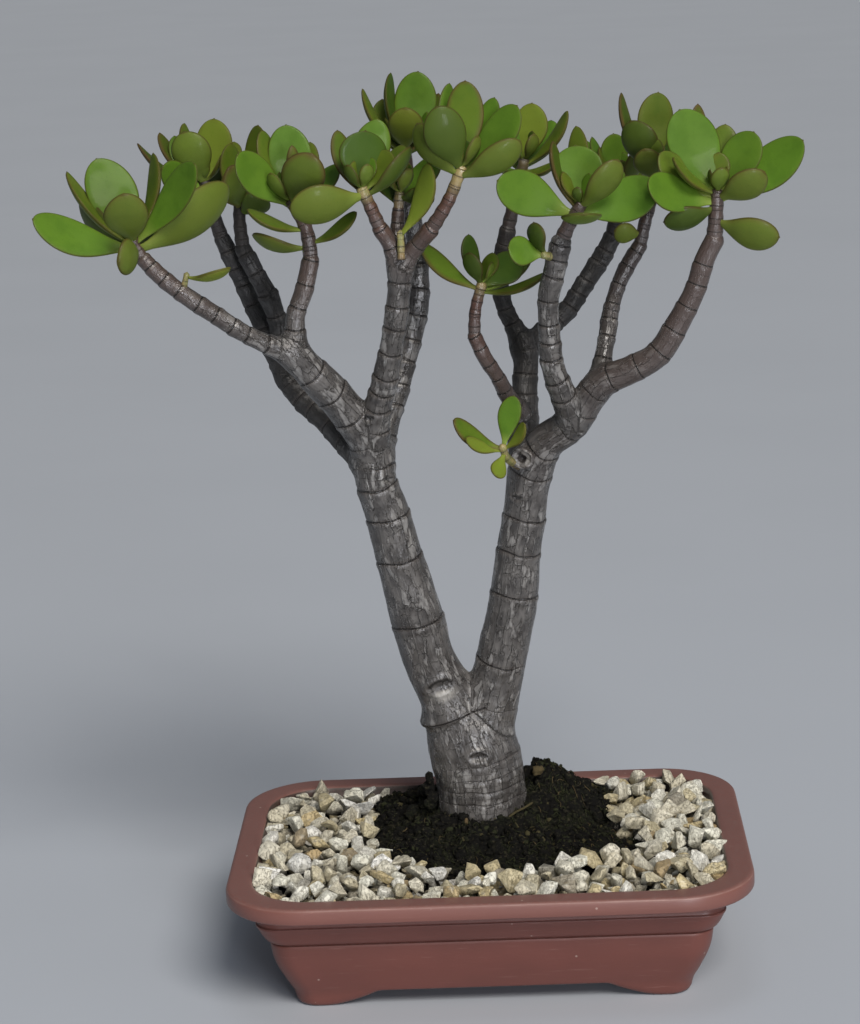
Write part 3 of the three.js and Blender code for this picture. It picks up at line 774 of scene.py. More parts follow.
# ---- pot
@dataclass
class Pot:
    """The footed pot: lip, neck, cove band, groove, body and four feet.

    Attributes:
        width: of the rim's outer edge, from side to side.
        depth: of the rim's outer edge, from front to back.
        arch_height: height of the arches between the feet.
        arch_half: half an arch's flat length, in the front and in the side.
        arch_ease: length of its curved ends there.
        foot_top: height up to which the arches lift the walls.
        bottom_edge: height of the rounding along the bottom edge.
        outside: outer profile from the ground up, as height, inset from the rim and
            radius of the corners.
        inside: inner profile from the rim down.
        corner_steps: points in a corner.
        side_steps: points in a short and in a long side.
        under_rings: rings of points across the underside.
    """

    width: float = 270
    depth: float = 200
    arch_height: float = 8.4
    arch_half: tuple[float, float] = (58.5, 30)
    arch_ease: tuple[float, float] = (30, 24)
    foot_top: float = 13.0
    bottom_edge: float = 2.6
    outside: Points = (
        (0, 35.6, 9), (0.3, 34.6, 10), (1.1, 33.6, 10.5), (2.6, 32.9, 11), (5, 32.3, 12), (8, 31.4, 12),
        (11, 29.9, 12), (14, 28.5, 12), (18, 26.8, 12), (22, 25.1, 12), (26, 23.7, 12), (30, 22.7, 12),
        (34, 22.1, 12), (36.4, 21.8, 12), (37.5, 21.7, 12), (37.9, 21.9, 12), (38.1, 22.9, 11),
        (38.6, 23.2, 11), (39.0, 22.9, 11), (39.2, 21.3, 12), (39.5, 20.4, 12), (40.6, 19.5, 12),
        (42.2, 18.6, 12), (44, 17.7, 12), (46, 16.9, 12), (47.6, 16.3, 12), (48.6, 15.6, 12.3),
        (49.3, 15.4, 12.5), (49.7, 15.5, 12.5), (49.9, 16.1, 12), (50.6, 16.4, 12), (53, 16.3, 12),
        (56.2, 16.2, 12), (56.9, 15.8, 12), (57.2, 15.2, 13), (57.3, 13.6, 15), (57.3, 8, 25),
        (57.3, 2.4, 36), (57.5, 1.2, 39), (57.9, 0.45, 40.5), (58.6, 0.05, 41), (61, 0, 41), (64, 0, 41),
        (64.9, 0.25, 41), (65.6, 0.8, 40.6), (65.95, 1.6, 40), (66, 2.8, 39.3),
    )
    inside: Points = (
        (66, 6, 37.4), (66, 10, 35), (65.9, 12, 33.8), (65.5, 12.9, 33), (64.8, 13.5, 32.8), (63.5, 14, 32.5),
        (60, 15.6, 28), (56, 18.4, 18), (50, 19.4, 12), (44, 21.5, 11), (38, 26, 10), (30, 27, 10),
        (22, 29, 10), (14, 32, 10), (11, 36, 8),
    )
    corner_steps: int = 16
    side_steps: tuple[int, int] = (36, 64)
    under_rings: int = 24

    def ring(self, inset: float, height: float, radius: float) -> Array:
        """A level rounded rectangle inside the rim's outline.

        Args:
            inset: distance inside the rim's outer edge.
            height: of the ring.
            radius: of its corners.

        Returns:
            Its points, counter-clockwise from above.
        """
        half = np.array([self.width / 2 - inset - radius, self.depth / 2 - inset - radius])
        corners = ((1, 1), (-1, 1), (-1, -1), (1, -1))
        points = []
        for quarter, corner in enumerate(corners):
            angles = (quarter + np.linspace(0, 1, self.corner_steps + 1)) * math.pi / 2
            arc = np.stack([np.cos(angles), np.sin(angles)], 1) * radius + half * corner
            # The side runs from the end of this corner to the start of the next.
            end = arc[-1] + half * corners[(quarter + 1) % 4] - half * corner
            steps = self.side_steps[1 - quarter % 2]
            points += [arc, arc[-1] + (end - arc[-1]) * np.linspace(0, 1, steps + 1)[1:-1, None]]
        flat = np.vstack(points)
        return np.column_stack([flat, np.full(len(flat), float(height))])

    def underside(self, x: Array, y: Array) -> Array:
        """The pot's underside: two crossing shallow arches between four feet.

        Args:
            x: places from side to side.
            y: places from front to back.

        Returns:
            The height at each place.
        """
        rise = np.zeros(len(x))
        for place, half, ease in zip((x, y), self.arch_half, self.arch_ease):
            share = np.clip((np.abs(place) - half) / ease, 0, 1)
            rise = np.maximum(rise, self.arch_height * (1 - np.sin(share * math.pi / 2)))
        return rise

    @staticmethod
    def section(table: Points, height: float) -> list[float]:
        """Inset and corner radius of a profile at a height."""
        heights, *others = np.array(sorted(table)).T
        return [float(np.interp(height, heights, column)) for column in others]

    def wall_distance(self, points: Array, inset: float, radius: float = 31) -> Array:
        """How far points lie inside a rounded rectangle.

        Args:
            points: the plan points.
            inset: of the rectangle from the rim's outer edge.
            radius: of its corners.

        Returns:
            Distance to the rectangle from inside, and negative outside.
        """
        dx = np.abs(points[:, 0]) - (self.width / 2 - inset - radius)
        dy = np.abs(points[:, 1]) - (self.depth / 2 - inset - radius)
        outer = np.hypot(np.maximum(dx, 0), np.maximum(dy, 0))
        return radius - outer - np.minimum(np.maximum(dx, dy), 0)

    def lifted(self, height: float, inset: float, radius: float) -> Array:
        """A ring of the feet's outside, raised where the arches are.

        Args:
            height: of the ring at the feet.
            inset: of the outer profile at that height.
            radius: of the corners at that height.

        Returns:
            Its points, counter-clockwise from above.
        """
        ring = self.ring(inset, height, radius)
        base = self.underside(ring[:, 0], ring[:, 1])
        risen = base + height * (self.foot_top - base) / self.foot_top
        # The bottom edge keeps its own rounding where the arches lift it.
        rounding = inset - self.section(self.outside, max(height, self.bottom_edge))[0]
        points = []
        for i, z in enumerate(risen):
            wide, round_by = self.section(self.outside, max(float(z), self.bottom_edge))
            points.append(self.ring(wide + rounding, z, round_by)[i])
        return np.array(points)

    def build(self, plastic: Material) -> None:
        """Builds the pot.

        Args:
            plastic: its finish.
        """
        rings = [self.lifted(*row) for row in self.outside if row[0] < self.foot_top]
        plain = [*self.outside[len(rings) :], *self.inside]
        rings += [self.ring(inset, height, radius) for height, inset, radius in plain]
        count = len(rings[0])
        floor_hub = len(rings) * count
        first = np.arange(count)
        faces = [loft_faces(len(rings), count), fan(first + floor_hub - count, floor_hub)]
        # The arched underside closes the pot below.
        under = [rings[0] * (share, share, 1) for share in np.linspace(1, 0, self.under_rings + 2)[1:-1]]
        for ring in under:
            ring[:, 2] = self.underside(ring[:, 0], ring[:, 1])
        under_rows = floor_hub + 1 + np.arange(len(under) * count).reshape(-1, count)
        rows = np.vstack([first, under_rows])
        for a, b in zip(rows[:-1], rows[1:]):
            faces.append(np.stack([a, b, np.roll(b, -1), np.roll(a, -1)], 1))
        floor_z = self.inside[-1][0]
        verts = np.vstack([*rings, (0, 0, floor_z), *under, (0, 0, self.arch_height)])
        faces.append(fan(rows[-1], len(verts) - 1)[:, [0, 2, 1]])
        skin = Skin()
        skin.add(verts, faces)
        skin.piece("pot_moulded", [plastic], "pot_plastic", ["pot"], sharp_deg=50)
        LOG.info("pot: %d points round, %d profile steps", count, len(rings))


# ---- soil
@dataclass
class Mound:
    """The soil mound and what lies on it: crumbs, clods, moss strands and a dry twig.

    Attributes:
        pot: the pot that holds it.
        edge: corners of the mound's edge, counter-clockwise from above.
        centre: middle of the mound's plan.
        swellings: centre x, centre y, height and spread of each swelling.
        edge_z: height of the edge.
        base_z: height of its underside, which the gravel hides.
        gap_mm: least distance from the pot's wall.
        edge_top: height that the edge doesn't pass.
        around: points round the mound.
        rings: rings of points from its edge to its middle.
        block: heights of the soil below it, from the pot's floor up.
        crumb_count: number of crumbs.
        clod_count: number of clods.
        strand_count: number of moss strands.
        heap: x, y, z and size of the clods against the trunk.
        dry_bits: the same of two dry bits, with their tone.
        crumb_rough: how far a crumb's corners stray from a ball.
        strand_steps: points along a strand.
        twig: points of the dry twig.
        twig_radius: its radius.
        twig_tone: its tone, from peat at 0 to dry fibre at 1.
    """

    pot: Pot
    edge: Points = (
        (-50, 85.5), (-60, 62), (-65, 36), (-63, 10), (-52, -18), (-36, -30), (-16, -44), (4, -50), (28, -40),
        (54, -38), (78, -24), (81, -4), (70, 16), (64, 40), (68, 62), (64, 85.5), (36, 86), (-10, 86),
    )
    centre: tuple[float, float] = (4, 24)
    swellings: Points = (
        (-4, 22, 15, 42), (34, 50, 24, 24), (-36, 46, 9, 18), (-28, 76, 4.5, 22), (44, 78, 3.5, 18),
    )
    edge_z: float = 60
    base_z: float = 48
    gap_mm: float = 0.3
    edge_top: float = 57
    around: int = 240
    rings: int = 84
    block: tuple[float, ...] = (11.3, 16, 24, 32, 46, 53.7)
    crumb_count: int = 4300
    clod_count: int = 330
    strand_count: int = 1000
    heap: Points = (
        (-33, 25, 70, 4.6), (-31.5, 20, 78, 4.2), (-32, 21, 86, 3.8), (-31, 20, 92, 3.0), (-35, 30, 74, 4.6),
        (-37, 24, 66, 4.8), (-41, 30, 68, 5.0), (-30, 14, 70, 4.2), (-33, 28, 81, 3.6), (-45, 38, 67, 5.0),
        (22, 42, 84, 4.6), (27, 36, 88, 4.0), (-29.5, 18, 82, 3.0), (-36, 34, 79, 4.0),
    )
    dry_bits: Points = ((27.2, 30, 90.5, 4.6, 0.9), (-12.1, 2, 73.2, 1.7, 1.0))
    crumb_rough: float = 0.45
    strand_steps: int = 7
    twig: Points = ((9.6, 8, 71.8), (14, 9.5, 74.6), (19, 11.5, 76.4), (23.8, 14, 78.4))
    twig_radius: float = 0.62
    twig_tone: float = 0.86

    def loop(self, count: int) -> Array:
        """The mound's edge as a smooth closed loop.

        Args:
            count: number of points.

        Returns:
            Its plan points.
        """
        corners = np.array(self.edge, float)
        at = np.arange(count) / count * len(corners)
        whole = at.astype(int)
        four = (corners[(whole + k) % len(corners)] for k in (-1, 0, 1, 2))
        return spline(four, (at - whole)[:, None])

    def height(self, plan: Array) -> Array:
        """Height of the smooth mound.

        Args:
            plan: the plan points.

        Returns:
            Their heights.
        """
        total = np.full(len(plan), float(self.edge_z))
        for x, y, rise, spread in self.swellings:
            total += rise * np.exp(-((plan[:, 0] - x) ** 2 + (plan[:, 1] - y) ** 2) / spread**2)
        return total

    def relief(self, plan: Array) -> Array:
        """Height of the crumbly surface.

        Args:
            plan: the plan points.

        Returns:
            Their heights.
        """
        places = np.column_stack([plan, np.zeros(len(plan))])
        rough = 3.0 * smooth_noise(places, 13, 1) + 2.4 * smooth_noise(places, 6.5, 4)
        ridge = 1 - np.abs(smooth_noise(places, 5, 2)) * 2
        rough += 1.1 * ridge + 0.8 * smooth_noise(places, 2.2, 3)
        return self.height(plan) - 1.2 + rough

    def inside(self, plan: Array, grow: float = 0) -> Array:
        """Tells which points lie inside the mound's edge.

        Args:
            plan: the plan points.
            grow: how far the edge is moved out.

        Returns:
            True for the points inside.
        """
        loop = self.loop(96)
        loop = loop + unit(loop - self.centre) * grow
        after = np.roll(loop, -1, axis=0)
        x, y = plan[:, 0][:, None], plan[:, 1][:, None]
        crosses = (loop[:, 1] > y) != (after[:, 1] > y)
        with np.errstate(divide="ignore", invalid="ignore"):
            at = loop[:, 0] + (after[:, 0] - loop[:, 0]) * (y - loop[:, 1]) / (after[:, 1] - loop[:, 1])
        return (np.count_nonzero(crosses & (x < at), axis=1) % 2) == 1

    def ground(self) -> Skin:
        """Makes the surface of the mound and the block of soil below it.

        Returns:
            Their skin.
        """
        loop = self.loop(self.around)
        middle = np.array(self.centre)
        rows = [np.column_stack([loop, np.full(self.around, float(self.base_z))])]
        for share in np.linspace(1, 0.02, self.rings):
            plan = middle + (loop - middle) * share
            rows.append(np.column_stack([plan, self.relief(plan)]))
        rows[1][:, 2] = np.minimum(rows[1][:, 2], self.edge_top)
        verts = np.vstack(rows)
        # The wall leans in further down, and the soil stays inside it.
        wall = np.array(sorted(self.pot.inside))
        inset = np.interp(verts[:, 2], wall[:, 0], wall[:, 1]) + self.gap_mm
        for axis, size in enumerate((self.pot.width, self.pot.depth)):
            reach = size / 2 - inset
            verts[:, axis] = np.clip(verts[:, axis], -reach, reach)
        hubs = ((*middle, self.base_z), (*middle, float(self.relief(middle[None])[0])))
        skin = Skin()
        skin.add(np.vstack([verts, *hubs]), closed_loft(len(rows), self.around), tone=0.0)
        levels = []
        for z in self.block:
            inset, radius = self.pot.section(self.pot.inside, z)
            levels.append(self.pot.ring(inset + 2 * self.gap_mm, z, radius))
        verts = np.vstack([*levels, (0, 0, self.block[0]), (0, 0, self.block[-1])])
        skin.add(verts, closed_loft(len(levels), len(levels[0])), tone=0.0)
        return skin

    def lump(self, random: Random) -> tuple[Array, Array]:
        """A small rough ball.

        Args:
            random: the generator to draw from.

        Returns:
            Its points and triangles.
        """
        gold = (1 + 5**0.5) / 2
        four = [(-1, gold, 0), (1, gold, 0), (-1, -gold, 0), (1, -gold, 0)]
        corners = np.vstack([np.roll(four, k, axis=1) for k in range(3)])
        sides = [(0, 11, 5), (0, 5, 1), (0, 1, 7), (0, 7, 10), (0, 10, 11), (1, 5, 9), (5, 11, 4), (11, 10, 2)]
        sides += [(10, 7, 6), (7, 1, 8), (3, 9, 4), (3, 4, 2), (3, 2, 6), (3, 6, 8), (3, 8, 9), (4, 9, 5)]
        sides += [(2, 4, 11), (6, 2, 10), (8, 6, 7), (9, 8, 1)]
        verts = unit(corners) * (1 + self.crumb_rough * random.uniform(-1, 1, (12, 1)))
        return verts, np.array(sides)

    def crumbs(self, random: Random) -> Skin:
        """Peat crumbs all over the mound.

        Args:
            random: the generator to draw from.

        Returns:
            Their skin.
        """
        skin = Skin()
        plan = random.uniform((-66, -52), (84, 84), (self.crumb_count * 2, 2))
        plan = plan[self.inside(plan, 1.5)][: self.crumb_count]
        level = self.relief(plan)
        sizes = 0.45 + 1.25 * random.random(len(plan)) ** 2.5
        tones = random.random(len(plan))
        for (x, y), z, size, tone in zip(plan, level, sizes, tones):
            verts, faces = self.lump(random)
            verts = verts * size * random.uniform(0.6, 1.5, 3)
            # Most crumbs are plain peat, some are mossy and a few are dry fibre.
            shade = 0.0 if tone < 0.8 else (0.4 + 0.2 * random.random() if tone < 0.975 else 0.85)
            skin.add(verts + (x, y, z + size * 0.35), [faces], tone=shade)
        return skin

    def clods(self, random: Random) -> Skin:
        """Rounded clods of peat all over the mound, and a heap of them against the trunk.

        Args:
            random: the generator to draw from.

        Returns:
            Their skin.
        """
        ball = bmesh.new()
        bmesh.ops.create_icosphere(ball, subdivisions=3, radius=1.0)
        ball.verts.ensure_lookup_table()
        round_verts = np.array([v.co[:] for v in ball.verts])
        round_faces = np.array([[v.index for v in f.verts] for f in ball.faces])
        ball.free()
        plan = random.uniform((-64, -50), (82, 82), (self.clod_count * 3, 2))
        plan = plan[self.inside(plan, -1)][: self.clod_count]
        level = self.relief(plan)
        rows = [(x, y, z - 0.8, 1.6 + 2.6 * random.random() ** 1.6, 0.0) for (x, y), z in zip(plan, level)]
        rows += [(*row, 0.0) for row in self.heap]
        rows += self.dry_bits
        skin = Skin()
        for x, y, z, size, tone in rows:
            shift = random.uniform(0, 400, 3)
            near = round_verts + shift
            rough = 1 + 0.34 * smooth_noise(near, 0.8, 21) + 0.3 * smooth_noise(near, 0.4, 22)
            rough -= 0.25 * np.abs(smooth_noise(near, 0.3, 23))
            verts = round_verts * rough[:, None] * size * random.uniform(0.65, 1.25, 3)
            skin.add(verts + (x, y, z), [round_faces], tone=tone)
        return skin

    def strands(self, random: Random) -> Skin:
        """Thin curved strands of moss and root fibre, denser to the right.

        Args:
            random: the generator to draw from.

        Returns:
            Their skin.
        """
        skin = Skin()
        made = 0
        while made < self.strand_count:
            plan = random.uniform((-62, -46), (80, 80), (1, 2))
            likely = 0.35 + 0.65 * (plan[0, 0] > 10)
            if random.random() > likely or not self.inside(plan, -2)[0]:
                continue
            heading = random.uniform(0, math.tau)
            curl = random.uniform(-0.5, 0.5)
            length = random.uniform(2.5, 7)
            place = plan[0]
            line = []
            for step in range(self.strand_steps):
                lift = 0.5 + 0.8 * math.sin(step / (self.strand_steps - 1) * math.pi)
                line.append([*place, float(self.relief(place[None])[0]) + lift])
                heading += curl
                way = np.array([math.cos(heading), math.sin(heading)])
                place = place + way * length / self.strand_steps
            radius = random.uniform(0.16, 0.34)
            tone = 0.5 + 0.15 * random.random() if random.random() < 0.86 else 0.92
            self.strand(skin, np.array(line), radius, tone, 3)
            made += 1
        self.strand(skin, smooth_line(self.twig), self.twig_radius, self.twig_tone, 8)
        return skin

    @staticmethod
    def strand(skin: Skin, path: Array, radius: float, tone: float, sides: int) -> None:
        """Adds a thin stalk along a path, with pinched ends.

        Args:
            skin: the skin that gets it.
            path: points from end to end.
            radius: of the stalk.
            tone: from peat at 0 to dry fibre at 1.
            sides: points round the stalk.
        """
        steps = len(path)
        ring = []
        for k, point in enumerate(path):
            tangent = unit(path[min(k + 1, steps - 1)] - path[max(k - 1, 0)])
            side = unit(np.cross(tangent, [0, 0, 1.0]))
            upper = np.cross(side, tangent)
            thin = radius * (0.35 if k in (0, steps - 1) else 1)
            for turn in range(sides):
                angle = turn * math.tau / sides
                ring.append(point + thin * (math.cos(angle) * side + math.sin(angle) * upper))
        ends = np.arange(sides)[None]
        faces = [loft_faces(steps, sides)[:, ::-1], ends, ends[:, ::-1] + (steps - 1) * sides]
        skin.add(np.array(ring), faces, tone=tone)

    def build(self, peat: Material) -> None:
        """Builds the soil and what lies on it.

        Args:
            peat: its finish.
        """
        random = np.random.default_rng(SEED)
        self.ground().piece("soil_mound", [peat], "soil", ["soil"])
        self.crumbs(random).piece("soil_crumbs", [peat], "soil")
        self.clods(random).piece("soil_clods", [peat], "soil")
        self.strands(random).piece("moss_strands", [peat], "soil")
        counts = self.crumb_count, self.clod_count + len(self.heap), self.strand_count
        LOG.info("soil: mound, %d crumbs, %d clods, %d strands and a twig", *counts)


# ---- gravel
@dataclass
class Gravel:
    """Loose crushed stones that fill the pot round the mound, in two layers.

    Attributes:
        pot: the pot that holds them.
        mound: the mound that they lie round.
        count: number of large stones.
        chip_count: number of small chips between them.
        floor_z: height on which the lower layer lies.
        top_z: height that no stone's middle passes.
        kinds: number of different stones.
        wall_inset: inset from the rim of the outline in which they are dropped.
        bed_inset: the same of the outline that they don't pass.
        steps: how often they are moved.
        fast_steps: in how many of these, at first, they sink fast.
        edge_pitch: distance between the stones against the pot's wall.
        white_stone: x, y, z and radius of the one white stone.
    """

    pot: Pot
    mound: Mound
    count: int = 640
    chip_count: int = 260
    floor_z: float = 53.5
    top_z: float = 67.5
    kinds: int = 40
    wall_inset: float = 16
    bed_inset: float = 13.6
    steps: int = 150
    fast_steps: int = 110
    edge_pitch: float = 9.5
    white_stone: tuple[float, float, float, float] = (-54.3, -40, 65, 6.6)

    def shapes(self, random: Random) -> list[tuple[Array, list[Array]]]:
        """Broken stones about 2 units across, with slightly worn edges.

        Args:
            random: the generator to draw from.

        Returns:
            Points and faces of each stone.
        """
        made = []
        for _ in range(self.kinds):
            cloud = unit(random.normal(size=(int(random.integers(9, 16)), 3)))
            cloud = cloud * random.uniform(0.77, 1.07, (len(cloud), 1))
            cloud = cloud * (random.uniform(1.0, 1.35), 1.0, random.uniform(0.6, 0.9))
            shell = bmesh.new()
            for point in cloud:
                shell.verts.new(point)
            hull = bmesh.ops.convex_hull(shell, input=shell.verts)
            spare = hull["geom_interior"] + hull["geom_unused"]
            loose = {part for part in spare if isinstance(part, bmesh.types.BMVert)}
            bmesh.ops.delete(shell, geom=list(loose), context="VERTS")
            bmesh.ops.dissolve_limit(shell, angle_limit=0.2, verts=shell.verts, edges=shell.edges)
            bmesh.ops.bevel(
                shell, geom=list(shell.edges), offset=0.09, segments=1, profile=0.5, affect="EDGES",
                clamp_overlap=True,
            )
            bmesh.ops.triangulate(shell, faces=shell.faces)
            shell.verts.ensure_lookup_table()
            verts = np.array([v.co[:] for v in shell.verts])
            faces = np.array([[v.index for v in f.verts] for f in shell.faces])
            shell.free()
            made.append((verts, [faces]))
        return made

    def settle(self, random: Random, radii: Array) -> Array:
        """Lets balls sink and push each other apart until they lie in the bed.

        Args:
            random: the generator to draw from.
            radii: radius of each ball.

        Returns:
            Their centres.
        """
        total = len(radii)
        places = np.empty((0, 2))
        while len(places) < total:
            tried = random.uniform((-118, -83), (118, 83), (total, 2))
            free = self.pot.wall_distance(tried, self.wall_inset) > 3
            places = np.vstack([places, tried[free & ~self.mound.inside(tried, 2)]])
        centres = np.column_stack([places[:total], self.floor_z + radii + random.uniform(0, 9, total)])
        middle = np.array(self.mound.centre)
        reach = radii[:, None] + radii[None, :]
        for step in range(self.steps):
            centres[:, 2] -= 0.25 if step < self.fast_steps else 0.08
            gap = centres[:, None, :] - centres[None, :, :]
            distance = np.sqrt((gap**2).sum(2)) + 1e-6
            overlap = np.maximum(reach * 0.92 - distance, 0)
            np.fill_diagonal(overlap, 0)
            push = (gap / distance[:, :, None] * overlap[:, :, None]).sum(1) * 0.32
            centres += np.clip(push, -1.2, 1.2)
            centres[:, 2] = np.clip(centres[:, 2], self.floor_z + radii * 0.8, None)
            inward = self.pot.wall_distance(centres, self.bed_inset) - radii * 0.85
            over = np.maximum(-inward, 0)[:, None]
            centres[:, :2] -= unit(centres[:, :2]) * over
            stuck = self.mound.inside(centres[:, :2], 1.0)
            centres[stuck, :2] += unit(centres[stuck, :2] - middle) * 0.8
        return centres

    def against_wall(self, random: Random) -> Array:
        """Stones that lie against the pot's wall, just below the rim.

        Args:
            random: the generator to draw from.

        Returns:
            Their centres.
        """
        loop = self.pot.ring(18.4, 61.4, 27)
        run = run_of(loop)
        at = np.arange(0, run[-1], self.edge_pitch)
        places = np.stack([np.interp(at, run, loop[:, axis]) for axis in range(3)], 1)
        places += random.uniform(-1, 1, places.shape) * (1.6, 1.6, 1.2)
        return places[~self.mound.inside(places[:, :2], -2)]

    def build(self, marble: Material) -> None:
        """Builds the stones.

        Args:
            marble: their finish.
        """
        random = np.random.default_rng(SEED + 1)
        shapes = self.shapes(random)
        radii = 3.8 + 2.9 * random.random(self.count) ** 1.3
        centres = self.settle(random, radii)
        beside = centres[random.integers(0, self.count, self.chip_count), :2]
        beside = beside + random.uniform(-5, 5, (self.chip_count, 2))
        chips = np.column_stack([beside, random.uniform(58, 62, self.chip_count)])
        free = self.pot.wall_distance(chips, self.wall_inset) > 2
        chips = chips[free & ~self.mound.inside(chips[:, :2], 1)]
        edge = self.against_wall(random)
        all_centres = np.vstack([centres, chips, edge, self.white_stone[:3]])
        chip_radii = random.uniform(1.4, 2.6, len(chips))
        edge_radii = random.uniform(3.9, 5.6, len(edge))
        all_radii = np.concatenate([radii, chip_radii, edge_radii, self.white_stone[3:]])
        skins = [Skin(), Skin()]
        placed = 0
        for centre, radius in zip(all_centres, all_radii):
            if centre[2] > self.top_z:
                continue
            verts, faces = shapes[int(random.integers(0, self.kinds))]
            turn = Matrix.Rotation(random.uniform(0, math.tau), 3, "Z")
            tilt = Matrix.Rotation(random.normal(0, 0.5), 3, "X")
            tilt = tilt @ Matrix.Rotation(random.normal(0, 0.5), 3, "Y")
            stretch = random.uniform(0.82, 1.22, 3)
            body = (verts * stretch * radius * 1.1) @ np.array((turn @ tilt).transposed())
            skin = skins[0 if centre[0] < 0 else 1]
            tone = 1.0 if tuple(centre) == self.white_stone[:3] else random.random()
            skin.add(body + centre, faces, tone=tone)
            placed += 1
        skins[0].piece("gravel_left", [marble], "gravel", ["gravel"], sharp_deg=28)
        skins[1].piece("gravel_right", [marble], "gravel", sharp_deg=28)
        LOG.info("gravel: %d stones", placed)


# ---- wood
class Wood(Enum):
    """Kinds of wood, with their age: 1 is old grey bark and 0 is a green tip."""

    OLD = (1.0, 0.75)
    LONG = (1.0, 0.42)
    BRANCH = (0.8, 0.42)
    TWIG = (0.6, 0.28)
    SHOOT = (0.3, 0.0)


@dataclass(frozen=True)
class Limb:
    """One limb: its middle line with radii, and how old and how shaded its bark is.

    Attributes:
        points: x, y, z and radius along the limb.
        kind: age of its wood at both ends.
        rear: how much painted shade darkens the bark, from 0 to 1.
        rings: heights of the ring scars that are told apart.
    """

    points: Points
    kind: Wood = Wood.BRANCH
    rear: float = 0.0
    rings: tuple[float, ...] = ()


TRUNK = Limb(
    (
        (-3.8, 28, 44, 24.4), (-3.8, 28, 62, 24.2), (-3.8, 28, 80, 23.8), (-4.9, 28, 99, 23.4),
        (-9, 28, 114, 21.4),
    ),
    Wood.OLD, 0.0, (72, 81, 88, 94.5, 102),
)
LEFT_LIMB = Limb(
    (
        (-11, 28, 100, 19), (-17, 27, 130, 16), (-28, 22, 157, 14), (-33, 18, 180, 14), (-41, 12, 216, 12.4),
        (-46, 9, 241, 11.7), (-51, 6, 260, 10.7), (-52, 5, 276, 10), (-64, -4, 300, 9.5),
        (-76, -12, 317, 9.2), (-90, -20, 335, 7),
    ),
    Wood.OLD, 0.0, (182.5, 218, 241.2, 258, 269, 283, 297, 310, 322),
)
RIGHT_LIMB = Limb(
    (
        (-4, 28, 100, 16), (2.4, 27, 130, 15.2), (7.4, 26, 146, 13.8), (13, 23, 169, 13.2),
        (18, 20, 192, 12.6), (21, 17, 215, 11.6), (25, 15, 236, 11.2), (29, 12, 259, 11), (37, 6, 276, 9.6),
        (51, -1, 288, 8.6), (66, -10, 309, 7.6), (82, -15, 317, 7), (95, -18, 325, 6.6), (105, -20, 340, 6),
        (114, -22, 357, 5.4), (119, -23, 372, 5.2), (124, -24, 382, 5),
    ),
    Wood.LONG, 0.0, (132, 156, 195, 218, 236.5, 261, 274, 286, 296, 306, 313, 319, 327, 338, 350, 361, 371),
)
LEFT_BRANCHES = (
    Limb(((-86, -17, 331, 6), (-109, -27, 344, 4.5), (-126, -32, 357, 4.5), (-140, -35, 368, 4.2),
          (-151, -36, 378, 4), (-158, -36, 386, 3.6)), Wood.BRANCH),
    Limb(((-87, -18, 332, 6.5), (-86, -18, 351, 4.8), (-81, -16, 364, 4.7),
          (-77, -14, 379, 4.3)), Wood.BRANCH),
    Limb(((-56, 8, 270, 8), (-74, 28, 287, 7.6), (-90, 42, 300, 7.4), (-102, 50, 320, 6.6),
          (-109, 52, 336, 5.4), (-115, 54, 349, 5.1), (-121, 56, 365, 5),
          (-128, 57, 381, 4.5)), Wood.OLD, 0.8),
    Limb(((-97, 46, 308, 6.5), (-100, 43, 337, 5.2), (-105, 40, 355, 4.8), (-111, 40, 368, 4.8),
          (-116, 42, 378, 4.5)), Wood.OLD, 0.8),
    Limb(((-54, 5, 272, 8.4), (-48, -4, 299, 7.3), (-43, -10, 316, 6.5), (-38, -16, 337, 5.9),
          (-34, -20, 358, 5.8), (-32, -22, 378, 5.4)), Wood.OLD),
    Limb(((-32, -22, 374, 4.8), (-36, -24, 386, 4.1), (-41, -26, 395, 4)), Wood.TWIG),
    Limb(((-32, -22, 374, 4.8), (-23, -26, 386, 4.3), (-16, -30, 394, 4.3)), Wood.TWIG),
    Limb(((-32, -21, 375, 4.2), (-33, -15, 390, 3.5), (-32, -12, 402, 3.2)), Wood.TWIG, 0.4),
    Limb(((-52, 8, 270, 8.4), (-43, 18, 294, 7.3), (-36, 26, 314, 6.6), (-30, 30, 331, 6.1),
          (-26, 32, 349, 5.8), (-25, 34, 364, 5.4), (-26, 34, 383, 5), (-28, 34, 398, 4.4)), Wood.OLD, 0.35),
)
RIGHT_BRANCHES = (
    Limb(((52, -2, 288, 7.6), (47, -13, 305, 6.5), (42, -18, 321, 5.7), (41, -22, 339, 5.5),
          (41, -25, 356, 5.4), (44, -27, 369, 5.4), (48, -29, 385, 5.2)), Wood.OLD),
    Limb(((64, -8, 306, 6.4), (68, -3, 320, 4.6), (71, 4, 333, 4.3), (74, 10, 347, 4.2), (80, 14, 361, 4),
          (89, 16, 375, 3.8)), Wood.BRANCH, 0.35),
    Limb(((28, 14, 260, 9.5), (26, 22, 275, 7.8), (27, 28, 287, 7.2), (28, 34, 302, 6.6), (29, 38, 314, 6.4),
          (28, 40, 324, 5.6)), Wood.OLD, 0.7),
    Limb(((28, 40, 320, 5.4), (23, 42, 332, 4.7), (19, 43, 341, 4.6), (17, 44, 353, 4.5), (18, 44, 366, 4.4),
          (22, 44, 382, 4.1)), Wood.BRANCH, 0.8),
    Limb(((28, 40, 319, 5.6), (40, 48, 328, 5.3), (51, 54, 336, 5.3), (60, 58, 348, 5.3), (71, 62, 363, 5),
          (77, 63, 374, 4.6)), Wood.OLD, 0.8),
    Limb(((27, 26, 284, 6), (19, 16, 299, 4.3), (14, 10, 311, 3.8), (8, 6, 322, 3.8),
          (3, 4, 334, 3.5)), Wood.TWIG),
)
